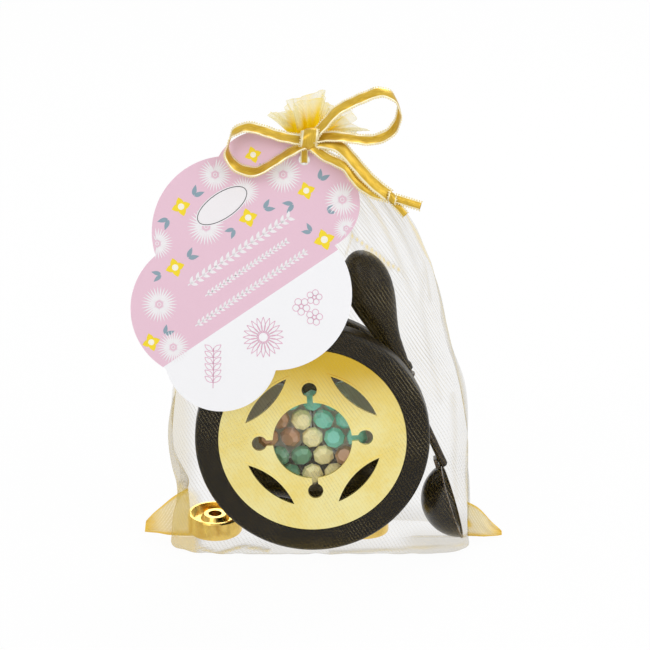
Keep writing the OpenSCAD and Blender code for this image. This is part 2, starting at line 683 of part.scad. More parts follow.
module bow_loop_right() {
    s = loop_right_l / 39.9;
    path = [[3.8, -0.8, 3.6], [11.9, -1.6, 12.9], [18, -1.8, 16.7], [25.3, -1.6, 20], [31.4, -1.2, 21.9],
        [36.9, -0.6, 20], [39.9, 0, 14.8], [39.9, 0.2, 9.1], [36.9, 0, 3.3], [31.4, -0.6, 0.2],
        [25.3, -1.2, -0.5], [16.8, -1.8, 0.8], [10.1, -1.6, 1.4], [4.8, -0.9, 0.8]];
    color("#e0b93c") ribbon([for (q = path) knot + s * q], [-0.25, 0.8, 0.55], 34);
}

module ribbon_tail_upper() {
    s = tail_l / 36.9;
    path = [[4.6, -0.8, -1.6], [8, -1.6, -1.4], [13.1, -2.8, -2.6], [16.8, -3.6, -5.6], [22.3, -4.6, -12],
        [28.4, -5.6, -18.6], [35, -6.4, -23.6]];
    color("#d8ae35") ribbon([for (q = path) knot + s * q], [0.3, 0.6, 0.75], 16);
}

module ribbon_tail_lower() {
    s = tail_l / 36.9;
    path = [[3.2, -2, -4.6], [7, -4.2, -6.8], [11.9, -5, -9], [16.6, -5.6, -11.6], [19.8, -6, -16],
        [23.5, -6.4, -20], [29.4, -6.6, -23.6], [34.2, -6.6, -25.4]];
    color("#d8ae35") ribbon([for (q = path) knot + s * q], [0.35, 0.6, 0.72], 16, ribbon_w * 0.5);
}

module tail_knot() {
    color("#cfa02a") translate(tail_knot_at) rotate([0, 40, 0]) scale([1, 1, 1.3]) sphere(d = 3.8, $fn = 24);
}

module ribbon_ends() {
    k = tail_knot_at;
    color("#e0b93c") {
        ribbon([k + [2.4, 0, -0.4], k + [6.4, 0.4, -1.8], k + [12.8, 1, -4]], [0.2, 0.4, 0.9], 6, 3.6);
        ribbon([k + [1.4, 0, -2.6], k + [3.6, 0.2, -5], k + [6, 0.4, -8]], [0.9, 0.3, 0.3], 6, 3);
    }
}

// Tag

// Lobes of the card as [x, y, radius] from its tie hole
tag_lobes = [[-33.9, -32.1, 33.8], [-46.4, -66.4, 30.8], [-37, -87, 25.3], [-13, -59.7, 34.2],
    [3.8, -19.6, 20.9], [-0.5, -4.5, 9], [-18.8, -8.9, 21.8]];

module tag_card() {
    color("#f3c9da") in_tag() translate([0, 0, -tag_t / 2]) linear_extrude(tag_t) difference() {
        union() {
            for (lobe = tag_lobes) translate([lobe[0], lobe[1]]) circle(r = lobe[2], $fn = 96);
            polygon([for (lobe = tag_lobes) [lobe[0], lobe[1]]]);
        }
        circle(d = tag_hole_d, $fn = 48);
    }
}

furnace_ring();
furnace_plate();
furnace_posts();
furnace_base();
base_screws();
spoon_bowl();
spoon_neck();
spoon_ferrule();
spoon_handle();
stamp_handle();
stamp_stud();
seal_head_fitted();
seal_head_left();
seal_head_right();
tealight_cup(-1);  // tealight_cup_left
tealight_wax(-1);  // tealight_wax_left
tealight_wick(-1);  // tealight_wick_left
tealight_cup(1);  // tealight_cup_right
tealight_wax(1);  // tealight_wax_right
tealight_wick(1);  // tealight_wick_right
color("#3aa79a") beads(teal);  // beads_teal
color("#e8d36a") beads(cream);  // beads_cream
color("#9a5a33") beads(copper);  // beads_copper
color("#2f7a52") beads(green);  // beads_green
bead_pouch();
bag_front();
bag_back();
bag_corner_left();
bag_corner_right();
bag_frill();
ribbon_wrap();
tag_tie();
bow_knot();
bow_loop_left();
bow_loop_right();
ribbon_tail_upper();
ribbon_tail_lower();
tail_knot();
ribbon_ends();
tag_card();
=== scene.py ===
import math

import bpy
import numpy as np
from mathutils import Matrix, Vector


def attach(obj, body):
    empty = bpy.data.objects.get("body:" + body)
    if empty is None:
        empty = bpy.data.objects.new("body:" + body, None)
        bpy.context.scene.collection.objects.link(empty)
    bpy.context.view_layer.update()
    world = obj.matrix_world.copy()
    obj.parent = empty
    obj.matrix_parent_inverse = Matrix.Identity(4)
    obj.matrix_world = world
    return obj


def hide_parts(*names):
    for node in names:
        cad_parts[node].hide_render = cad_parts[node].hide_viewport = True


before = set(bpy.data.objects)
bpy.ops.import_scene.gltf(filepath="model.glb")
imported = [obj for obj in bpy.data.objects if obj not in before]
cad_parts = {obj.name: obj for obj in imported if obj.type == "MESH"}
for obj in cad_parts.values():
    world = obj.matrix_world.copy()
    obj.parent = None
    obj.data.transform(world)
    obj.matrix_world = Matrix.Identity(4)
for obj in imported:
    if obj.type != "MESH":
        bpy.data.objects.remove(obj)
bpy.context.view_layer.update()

# Where the set stands: a white table, seen from the front and a little from above
# through a long lens. Soft lamps hang on both sides and white paper closes the room.
scene = bpy.context.scene
scene.view_settings.view_transform = "Standard"
aim = Vector((0.0056, -0.029, 0.1074))
rise = math.radians(17.5)
reach = 4.0
camera = bpy.data.objects.new("camera", bpy.data.cameras.new("camera"))
camera.data.sensor_width = 36
camera.data.lens = 36 * reach / 0.2889
camera.location = aim + reach * Vector((0, -math.cos(rise), math.sin(rise)))
camera.rotation_euler = (math.pi / 2 - rise, 0, 0)
scene.collection.objects.link(camera)
scene.camera = camera


def lamp(name, place, size, watts):
    data = bpy.data.lights.new(name, "AREA")
    data.size = size
    data.energy = watts
    hung = bpy.data.objects.new(name, data)
    hung.location = place
    hung.rotation_euler = (aim - Vector(place)).to_track_quat("-Z", "Y").to_euler()
    scene.collection.objects.link(hung)


lamp("lamp_left", (-0.55, -0.75, 0.75), 0.5, 2.5)
lamp("lamp_right", (0.7, -0.5, 0.55), 0.6, 1.9)
lamp("lamp_behind", (0.15, 0.7, 0.8), 0.6, 4.0)


class Flow:
    """A value on its way through a finish. A sum on it adds the node that works it out."""

    def __init__(self, tree, socket=None):
        self.tree = tree
        self.socket = socket

    def node(self, kind, settings, links, out=0):
        made = self.tree.nodes.new("ShaderNode" + kind)
        for name, value in settings.items():
            setattr(made, name, value)
        for name, value in links.items():
            if isinstance(value, Flow):
                self.tree.links.new(value.socket, made.inputs[name])
            elif value is not None:
                made.inputs[name].default_value = value
        return Flow(self.tree, made.outputs[out])

    def out(self, name):
        return Flow(self.tree, self.socket.node.outputs[name])

    def maths(self, operation, *values):
        return self.node("Math", {"operation": operation}, dict(enumerate(values)))

    def __add__(self, other):
        return self.maths("ADD", self, other)

    def __radd__(self, other):
        return self.maths("ADD", other, self)

    def __sub__(self, other):
        return self.maths("SUBTRACT", self, other)

    def __rsub__(self, other):
        return self.maths("SUBTRACT", other, self)

    def __mul__(self, other):
        return self.maths("MULTIPLY", self, other)

    def __rmul__(self, other):
        return self.maths("MULTIPLY", other, self)

    def __truediv__(self, other):
        return self.maths("DIVIDE", self, other)

    def __rtruediv__(self, other):
        return self.maths("DIVIDE", other, self)

    def sin(self):
        return self.maths("SINE", self)

    def root(self):
        return self.maths("SQRT", self)

    def most(self, other):
        return self.maths("MAXIMUM", self, other)

    def step(self, low, high):
        """A soft step from 0 to 1 between low and high."""
        return self.node("MapRange", {"interpolation_type": "SMOOTHSTEP"},
                         {"Value": self, "From Min": low, "From Max": high})

    def tint(self, a, b):
        """The colour between a and b, by this share."""
        a = (*a, 1) if isinstance(a, tuple) else a
        b = (*b, 1) if isinstance(b, tuple) else b
        return self.node("Mix", {"data_type": "RGBA"}, {0: self, 6: a, 7: b}, 2)


world = bpy.data.worlds.new("white_room")
scene.world = world
world.use_nodes = True
room = Flow(world.node_tree)
looked = room.node("LightPath", {}, {}, "Is Camera Ray")
mirrored = looked.out("Is Glossy Ray").most(looked.out("Is Transmission Ray"))
world.node_tree.nodes["Background"].inputs["Color"].default_value = (1, 1, 1, 1)
world.node_tree.links.new((0.6 + 0.4 * looked.most(mirrored)).socket,
                          world.node_tree.nodes["Background"].inputs["Strength"])

floor_mesh = bpy.data.meshes.new("table_top")
floor_mesh.from_pydata([(-4, -4, 0), (4, -4, 0), (4, 4, 0), (-4, 4, 0)], [], [(0, 1, 2, 3)])
table_top = bpy.data.objects.new("table_top", floor_mesh)
scene.collection.objects.link(table_top)
paper = bpy.data.materials.new("white_paper")
paper.use_nodes = True
paper_flow = Flow(paper.node_tree)
paper.node_tree.nodes["Principled BSDF"].inputs["Base Color"].default_value = (0.9, 0.9, 0.9, 1)
paper.node_tree.nodes["Principled BSDF"].inputs["Roughness"].default_value = 0.9
looked = paper_flow.node("LightPath", {}, {}, "Is Camera Ray")
share = 0.95 * looked.most(looked.out("Is Glossy Ray").most(looked.out("Is Transmission Ray")))
glow = paper_flow.node("Emission", {}, {"Color": (1, 1, 1, 1), "Strength": 1.0})
mixed = paper_flow.node("MixShader", {}, {0: share, 2: glow})
paper.node_tree.links.new(paper.node_tree.nodes["Principled BSDF"].outputs[0], mixed.socket.node.inputs[1])
paper.node_tree.links.new(mixed.socket, paper.node_tree.nodes["Material Output"].inputs["Surface"])
floor_mesh.materials.append(paper)


# Furnace frame: a ring, four posts and a base, turned from beech, stained black and
# varnished. The lathe leaves faint rings round the axis, which runs to the back.
furnace_z = 0.0534


class Finish(Flow):
    """A finish: the shader's plain values, and flows for what changes over the surface."""

    def __init__(self, name, colour, roughness, **plain):
        self.material = bpy.data.materials.new(name)
        self.material.use_nodes = True
        super().__init__(self.material.node_tree)
        self.shader = self.tree.nodes["Principled BSDF"]
        self.shader.inputs["Base Color"].default_value = (*colour, 1)
        self.shader.inputs["Roughness"].default_value = roughness
        for name, value in plain.items():
            self.shader.inputs[name.replace("_", " ")].default_value = value

    def feed(self, name, flow):
        self.tree.links.new(flow.socket, self.shader.inputs[name])

    def place(self):
        return self.node("TexCoord", {}, {}, "Object")

    def axes(self, vector=None):
        split = self.node("SeparateXYZ", {}, {0: vector or self.place()})
        return split, split.out("Y"), split.out("Z")

    def noise(self, scale, detail=3.0, roughness=0.5, stretch=(1, 1, 1), at=None):
        spread = self.node("VectorMath", {"operation": "MULTIPLY"}, {0: at or self.place(), 1: stretch})
        return self.node("TexNoise", {}, {"Vector": spread, "Scale": scale, "Detail": detail,
                                          "Roughness": roughness})

    def bump(self, height, depth, strength=1.0, onto=None):
        return self.node("Bump", {}, {"Height": height, "Distance": depth, "Strength": strength,
                                      "Normal": onto})


def dress(finish, *names):
    for name in names:
        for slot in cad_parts[name].material_slots:
            slot.material = finish.material


def turned_wood(name, deep, worn, lathe, grain, roughness=0.42, coat=0.08):
    """Stained and varnished wood: lathe is the distance from its axis, grain the stretch of the fibres."""
    wood = Finish(name, deep, roughness, Coat_Weight=coat, Coat_Roughness=0.18, Specular_IOR_Level=0.2)
    fibres = wood.noise(900, 5.0, 0.6, grain)
    cloud = wood.noise(60, 3.0)
    rings = (lathe(wood) * 2600 + fibres * 3.0).sin() * 0.5 + 0.5
    shade = (fibres * 0.7 + cloud * 0.5 - 0.25).step(0.25, 0.75)
    wood.feed("Base Color", shade.tint(deep, worn))
    wood.feed("Roughness", fibres * 0.2 + rings * 0.06 + (roughness - 0.12))
    wood.feed("Normal", wood.bump(rings * 0.35 + fibres * 0.65, 0.00012, 0.7))
    return wood


def from_furnace_axis(wood):
    x, y, z = wood.axes()
    up = z - furnace_z
    return (x * x + up * up).root()


black_wood = turned_wood("black_wood", (0.0035, 0.0034, 0.004), (0.013, 0.011, 0.01), from_furnace_axis,
                         (0.25, 1.0, 0.25))
dress(black_wood, "furnace_ring", "furnace_base", "furnace_posts")


# Screws: four small countersunk steel screws, brassed, that hold the posts from behind.
# The driver has left bright marks in their crosses.
brassed = Finish("brassed_steel", (0.7, 0.55, 0.26), 0.3, Metallic=1.0)
marks = brassed.noise(1500, 4.0)
brassed.feed("Roughness", marks * 0.3 + 0.18)
brassed.feed("Base Color", marks.step(0.35, 0.7).tint((0.62, 0.46, 0.2), (0.85, 0.72, 0.42)))
brassed.feed("Normal", brassed.bump(marks, 0.00005))
dress(brassed, "base_screws")


# Plate: thin brass-plated sheet steel, pierced and stamped, pressed into the ring's rebate.
# It has a fine satin skin and soft streaks from handling, and a painted shade darkens it towards its top.
gold = Finish("gold_plate", (0.88, 0.68, 0.22), 0.34, Metallic=1.0)
plate_r = 0.042
lift = (gold.axes()[2] - furnace_z) / plate_r
satin = gold.noise(3800, 2.0)
mottle = gold.noise(420, 4.0, 0.6)
smear = gold.noise(38, 3.0)
# painted shade: top_shade turns the plate a darker gold towards its top
top_shade = (lift * 0.9 + smear * 0.55).step(0.4, 1.15)
gold.feed("Base Color", top_shade.tint((smear * 0.7 + mottle * 0.3).step(0.3, 0.7).tint((0.96, 0.78, 0.24),
                                       (1.0, 0.92, 0.46)), (0.72, 0.48, 0.05)))
gold.feed("Roughness", satin * 0.1 + smear * 0.1 + 0.3)
gold.feed("Normal", gold.bump(satin * 0.5 + mottle * 0.5, 0.00004, 0.5))
dress(gold, "furnace_plate")


# Spoon: a pressed steel bowl on a steel rod, both lacquered black, with a steel collar
# and a turned handle stained nearly black. Its sharp edges are painted brown in patches, a painted highlight
# along the rim.
lacquer = Finish("black_lacquer", (0.012, 0.011, 0.012), 0.3, Coat_Weight=0.2, Coat_Roughness=0.12,
                 Specular_IOR_Level=0.3)
orange_peel = lacquer.noise(700, 3.0)
# painted highlight: the sharp edges are painted brown in patches along the rim
edge = lacquer.node("NewGeometry", {}, {}, "Pointiness").step(0.53, 0.6)
lacquer.feed("Base Color", (edge * orange_peel.step(0.4, 0.6)).tint((0.006, 0.005, 0.006), (0.16, 0.1, 0.06)))
lacquer.feed("Roughness", orange_peel * 0.25 + 0.2)
lacquer.feed("Normal", lacquer.bump(orange_peel, 0.00008, 0.5))
dress(lacquer, "spoon_bowl", "spoon_neck", "spoon_ferrule")


def along_spoon(wood):
    x, y, z = wood.axes()
    return (x * 0.34 + z * 0.94) * 0.55


spoon_wood = turned_wood("spoon_wood", (0.006, 0.0045, 0.0035), (0.024, 0.018, 0.012), along_spoon,
                         (1.0, 1.0, 0.22))
dress(spoon_wood, "spoon_handle")


# Stamp: a black turned handle with a brass stud, and three brass heads cut with motifs.
# The brass is lacquered and bright, with fine turning lines and a little brown in its corners.
def from_stamp_axis(wood):
    x, y, z = wood.axes()
    return x * 0.5


stamp_wood = turned_wood("stamp_wood", (0.008, 0.007, 0.007), (0.03, 0.022, 0.018), from_stamp_axis,
                         (0.22, 1.0, 1.0))
dress(stamp_wood, "stamp_handle")

brass = Finish("brass", (0.86, 0.6, 0.16), 0.2, Metallic=1.0)
turning = brass.noise(1300, 3.0, 0.5, (1, 1, 0.15))
stain = brass.noise(180, 4.0)
brass.feed("Base Color", stain.step(0.45, 0.8).tint((0.88, 0.62, 0.17), (0.6, 0.36, 0.08)))
brass.feed("Roughness", turning * 0.14 + stain * 0.1 + 0.08)
brass.feed("Normal", brass.bump(turning, 0.00003, 0.5))
dress(brass, "stamp_stud", "seal_head_fitted", "seal_head_left", "seal_head_right")


# Tealights: thin aluminium cups, drawn in a press, filled with white wax round a cotton wick.
foil = Finish("foil", (0.82, 0.83, 0.84), 0.4, Metallic=0.6)
crinkle = foil.noise(420, 4.0)
foil.feed("Roughness", crinkle * 0.25 + 0.15)
foil.feed("Normal", foil.bump(crinkle, 0.0002, 0.6))
foil.feed("Base Color", crinkle.tint((0.74, 0.75, 0.77), (0.88, 0.88, 0.88)))
dress(foil, "tealight_cup_left", "tealight_cup_right")

candle = Finish("candle_wax", (0.86, 0.82, 0.7), 0.42, Subsurface_Weight=0.2,
                Subsurface_Radius=(0.004, 0.003, 0.002))
bloom = candle.noise(240, 4.0)
candle.feed("Base Color", bloom.tint((0.88, 0.82, 0.66), (0.95, 0.93, 0.85)))
candle.feed("Roughness", bloom * 0.3 + 0.28)
candle.feed("Normal", candle.bump(bloom, 0.0002, 0.5))
dress(candle, "tealight_wax_left", "tealight_wax_right")

cotton = Finish("cotton_wick", (0.8, 0.78, 0.7), 0.9)
ply = cotton.noise(2500, 2.0, 0.5, (1, 1, 0.3))
cotton.feed("Base Color", ply.tint((0.6, 0.56, 0.46), (0.88, 0.86, 0.8)))
cotton.feed("Normal", cotton.bump(ply, 0.0002))
dress(cotton, "tealight_wick_left", "tealight_wick_right")


# Wax beads: eight-sided pastilles of pearly sealing wax in four colours, in a clear pouch.
# Mica in the wax makes soft clouds, and their edges are rubbed pale.
def bead_wax(name, deep, pale, mica):
    wax = Finish(name, deep, 0.3, Subsurface_Weight=0.12, Subsurface_Radius=(0.003, 0.003, 0.003),
                 Coat_Weight=0.25, Coat_Roughness=0.25)
    cloud = wax.noise(230, 4.0, 0.6)
    fine = wax.noise(2600, 2.0)
    rubbed = wax.node("NewGeometry", {}, {}, "Pointiness").step(0.5, 0.62)
    shade = (cloud * 0.9 + fine * 0.2 + rubbed * 0.5).step(0.35, 1.05)
    wax.feed("Base Color", shade.tint(deep, pale))
    wax.feed("Metallic", fine.step(0.45, 0.7) * mica)
    wax.feed("Roughness", cloud * 0.3 + 0.2)
    wax.feed("Normal", wax.bump(cloud * 0.7 + fine * 0.3, 0.00022, 0.6))
    return wax


bead_finish = {
    "beads_teal": bead_wax("teal_wax", (0.03, 0.42, 0.33), (0.2, 0.66, 0.52), 0.2),
    "beads_cream": bead_wax("cream_wax", (0.78, 0.6, 0.1), (0.98, 0.88, 0.46), 0.1),
    "beads_copper": bead_wax("copper_wax", (0.2, 0.08, 0.03), (0.5, 0.27, 0.14), 0.5),
    "beads_green": bead_wax("green_wax", (0.02, 0.14, 0.07), (0.12, 0.34, 0.2), 0.3),
}


# Pouch: two rounds of clear film, welded at the rim round the beads. A strip at the top and
# one at the foot hold it in the ring. Its slack lies in small wrinkles.
pouch_mid = Vector((0, 0, 0.0519))
pouch_r = 0.0255
pouch_front = -0.0254
pouch_back = -0.0143


def lay_mesh(name, points, faces, finish, smooth=True, uv=None, fold=None):
    """Makes a piece from points and faces, with a place along the cloth and a share of folding."""
    mesh = bpy.data.meshes.new(name)
    mesh.from_pydata([tuple(p) for p in points], [], faces)
    mesh.polygons.foreach_set("use_smooth", [smooth] * len(mesh.polygons))
    if uv is not None:
        corners = np.zeros(len(mesh.loops), dtype=np.int32)
        mesh.loops.foreach_get("vertex_index", corners)
        layer = mesh.uv_layers.new(name="cloth")
        layer.data.foreach_set("uv", np.asarray(uv, dtype=np.float32)[corners].ravel())
    if fold is not None:
        share = mesh.attributes.new("fold", "FLOAT", "POINT")
        share.data.foreach_set("value", np.asarray(fold, dtype=np.float32))
    mesh.materials.append(finish.material)
    piece = bpy.data.objects.new(name, mesh)
    scene.collection.objects.link(piece)
    mesh.update()
    return piece


def grid_faces(rows, columns, closed=False, start=0):
    wide = columns if closed else columns - 1
    return [(start + i * columns + j, start + i * columns + (j + 1) % columns,
             start + (i + 1) * columns + (j + 1) % columns, start + (i + 1) * columns + j)
            for i in range(rows - 1) for j in range(wide)]


def ripple(x, y, seed, waves=6, low=1.0, high=4.0):
    """Smooth irregular waves between about -1 and 1, the same on every run."""
    pick = np.random.default_rng(seed)
    total = np.zeros_like(x)
    for k in range(waves):
        turn = pick.uniform(0, 2 * math.pi)
        pitch = pick.uniform(low, high)
        across = x * math.cos(turn) + y * math.sin(turn)
        total += np.sin(across * pitch * 2 * math.pi + pick.uniform(0, 6.28))
    return total / math.sqrt(waves)


film = Finish("clear_film", (0.95, 0.96, 0.96), 0.07, Alpha=0.1, Specular_IOR_Level=0.6)
pucker = film.noise(300, 4.0, 0.6)
film.feed("Alpha", pucker.step(0.5, 0.75) * 0.16 + 0.05)
film.feed("Normal", film.bump(pucker, 0.0006, 0.5))
around, out = 96, 22
points = []
for i in range(out + 1):
    s = i / out
    for j in range(around):
        a = j / around * 2 * math.pi
        points.append((s, a))
s, a = np.array(points).T
bulge = np.sqrt(np.clip(1 - s ** 2.6, 0, 1))
wrinkle = 0.00025 * np.sin(a * 17 + 3 * s) * s ** 2 * (1 - s ** 6)
x = pouch_r * s * np.cos(a)
z = pouch_mid.z + pouch_r * s * np.sin(a)
middle = (pouch_front + pouch_back) / 2
depth = (pouch_back - pouch_front) / 2
front = np.column_stack([x, middle - depth * bulge - wrinkle, z])
back = np.column_stack([x, middle + depth * bulge + wrinkle, z])
front_faces = grid_faces(out + 1, around, True)
back_faces = [tuple(reversed(f)) for f in grid_faces(out + 1, around, True, len(front))]
pouch = lay_mesh("bead_pouch_film", np.vstack([front, back]), front_faces + back_faces, film)
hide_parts("bead_pouch")
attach(pouch, "tied_bag")


def tumble(name, seed):
    """The beads of one colour, each turned a little about its own middle, as they lie when poured."""
    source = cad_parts[name]
    corners = np.array([source.matrix_world @ v.co for v in source.data.vertices])
    places, at = np.unique(np.round(corners, 6), axis=0, return_inverse=True)
    at = at.ravel()
    faces = [[int(at[i]) for i in polygon.vertices] for polygon in source.data.polygons]
    bead_of = np.arange(len(places))
    for _ in range(40):
        before = bead_of.copy()
        for face in faces:
            bead_of[face] = bead_of[face].min()
        if (before == bead_of).all():
            break
    pick = np.random.default_rng(seed)
    for bead in np.unique(bead_of):
        some = bead_of == bead
        middle = (places[some].min(axis=0) + places[some].max(axis=0)) / 2
        lean = Vector((pick.normal(), 0.3 * pick.normal(), pick.normal())).normalized()
        tip = Matrix.Rotation(pick.uniform(0.25, 0.5), 3, lean)
        turn = tip @ Matrix.Rotation(pick.uniform(0, 0.8), 3, "Y")
        places[some] = (places[some] - middle) @ np.array(turn).T + middle
    piece = lay_mesh(name + "_poured", places, faces, bead_finish[name], False)
    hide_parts(name)
    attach(piece, "tied_bag")


for seed, name in enumerate(("beads_teal", "beads_cream", "beads_copper", "beads_green")):
    tumble(name, seed + 3)


# Bag: a front and a back of sheer gold organza, sewn down both sides, drawn in round the neck.
# The folds lie double and look more golden, and the two layers' threads beat against each
# other.
mm = 0.001


def organza(name, ground, thread, golden, thin, thick, golden_thick, painted_glow=0.0):
    # the Emission strength here is painted light: a faint glow in the cloth's own colour that stands in for
    # light coming through the cloth
    cloth = Finish(name, ground, 0.55, Specular_IOR_Level=0.2, Emission_Strength=painted_glow)
    along = cloth.node("UVMap", {"uv_map": "cloth"}, {})
    u, v, _ = cloth.axes(along)
    drift = cloth.noise(15, 2.0, 0.5, (1, 1, 1), along)
    drift_fine = cloth.noise(90, 2.0, 0.5, (1, 1, 1), along)
    beat_a = ((u * 0.84 + v * 0.54) * 4300 + drift * 26 + drift_fine * 1.6).sin()
    beat_b = ((u * 0.35 - v * 0.94) * 3900 + drift * 22 + drift_fine * 2.0).sin()
    dotted = (v + drift * 0.03).step(0.118, 0.1)
    lines = beat_a.step(0.35, 1.0) * (1 - dotted * 0.5 * (1 - beat_b.step(-0.5, 0.5)))
    patch = cloth.noise(30, 3.0, 0.5, (1, 1, 1), along).step(0.46, 0.66)
    fold = cloth.node("Attribute", {"attribute_name": "fold"}, {}, "Fac")
    seen = lines * (patch * 0.7 + 0.3)
    colour = fold.step(0.0, 0.6).tint(seen.tint(ground, thread), golden)
    cloth.feed("Base Color", colour)
    cloth.feed("Emission Color", colour)
    cloth.feed("Alpha", (seen * (thick - thin) + thin) * (1 - fold) + fold * golden_thick)
    cloth.feed("Normal", cloth.bump(lines + drift_fine * 2.0, 0.00008, 0.5))
    return cloth


sheer = organza("organza", (0.2, 0.13, 0.0), (0.6, 0.5, 0.28), (0.86, 0.64, 0.14), 0.05, 0.3, 0.78)


def bag_rows():
    """The wall's rows from the seam under the bag to its neck, as heights and insets."""
    rows = [(0.0, 25.55 - k * 22.6 / 9) for k in range(10)]
    for k in range(1, 6):
        b = math.radians(k * 15)
        rows.append((3 * (1 - math.cos(b)) + 0.1, 3 * (1 - math.sin(b))))
    rows += [(3.4 + k * 1.5, 0.0) for k in range(98)]
    rows += [(150.6 + k * 30.4 / 30, 0.0) for k in range(31)]
    return rows


# the bag at its foot and at its neck, in millimetres
shoulder_z, neck_z = 45, 181
foot_half, neck_half = 133 / 2, 6.6
foot_middle, neck_middle = 3.4, -1
foot_front, neck_front = -31, -11.6
foot_back, neck_back = 20.2, 1.6


def bag_section(z, inset, half):
    """Points round one half of the bag at a height, evenly spaced from side to side."""
    t = min(1, max(0, (z - shoulder_z) / (neck_z - shoulder_z)))
    wide = neck_half + (foot_half - neck_half) * (1 - 0.43 * t ** 1.3) * (1 - t ** 8) - inset
    slope = max(0, (z - 100) / 81)
    front_y = foot_front + (neck_front - foot_front) * slope
    back_y = foot_back + (neck_back - foot_back) * slope ** 1.15
    middle_y = (front_y + back_y) / 2
    deep = (back_y - front_y) / 2 - inset
    n = (6 if half == "front" else 4) * (1 - t) + 2 * t
    turn = np.linspace(math.pi, 2 * math.pi if half == "front" else 0, 900)
    c = np.cos(turn)
    s_ = np.sin(turn)
    x = foot_middle + (neck_middle - foot_middle) * t + wide * np.sign(c) * np.abs(c) ** (2 / n)
    y = middle_y + deep * np.sign(s_) * np.abs(s_) ** (2 / n)
    length = np.concatenate([[0], np.cumsum(np.hypot(np.diff(x), np.diff(y)))])
    return x, y, length


panel_columns = 190
# where a place is seen from the front, in a picture 650 wide, and how large a millimetre is there
middle_px, foot_py, per_mm = 312.5, 555.5, 2.25
# single folds of the front cloth, by where they are seen: way, width, share of folding, height
creases = [
    ([(352, 236), (372, 250), (385, 261), (402, 272)], 0.9, 0.95, 0.7),
    ([(357, 190), (374, 206), (385, 226), (392, 247)], 1.0, 0.32, 0.5),
    ([(366, 249), (380, 257), (389, 267)], 3.2, 0.42, 0.3),
    ([(352, 232), (350, 243), (346, 254)], 0.9, 0.5, 0.4),
    ([(176, 400), (172, 440), (171, 468), (178, 483), (191, 496)], 1.6, 0.55, 0.8),
    ([(186, 402), (184, 440), (184, 470), (190, 492)], 1.6, 0.25, 0.6),
    ([(190, 494), (198, 508), (204, 524), (206, 534)], 3.6, 0.55, 0.9),
    ([(193, 545), (203, 551), (216, 555), (232, 551), (243, 548), (268, 552)], 1.5, 0.6, 0.5),
    ([(398, 205), (414, 232), (424, 262), (430, 300)], 1.6, 0.25, 0.6),
    ([(425, 262), (421, 300), (428, 350), (441, 400)], 3.0, 0.12, 0.7),
    ([(452, 395), (456, 430), (455, 470), (458, 500)], 3.0, 0.2, 0.8),
    ([(468, 400), (468, 450), (468, 505)], 1.2, 0.45, 0.4),
    ([(330, 554), (400, 551), (440, 548), (468, 546)], 1.4, 0.45, 0.4)]


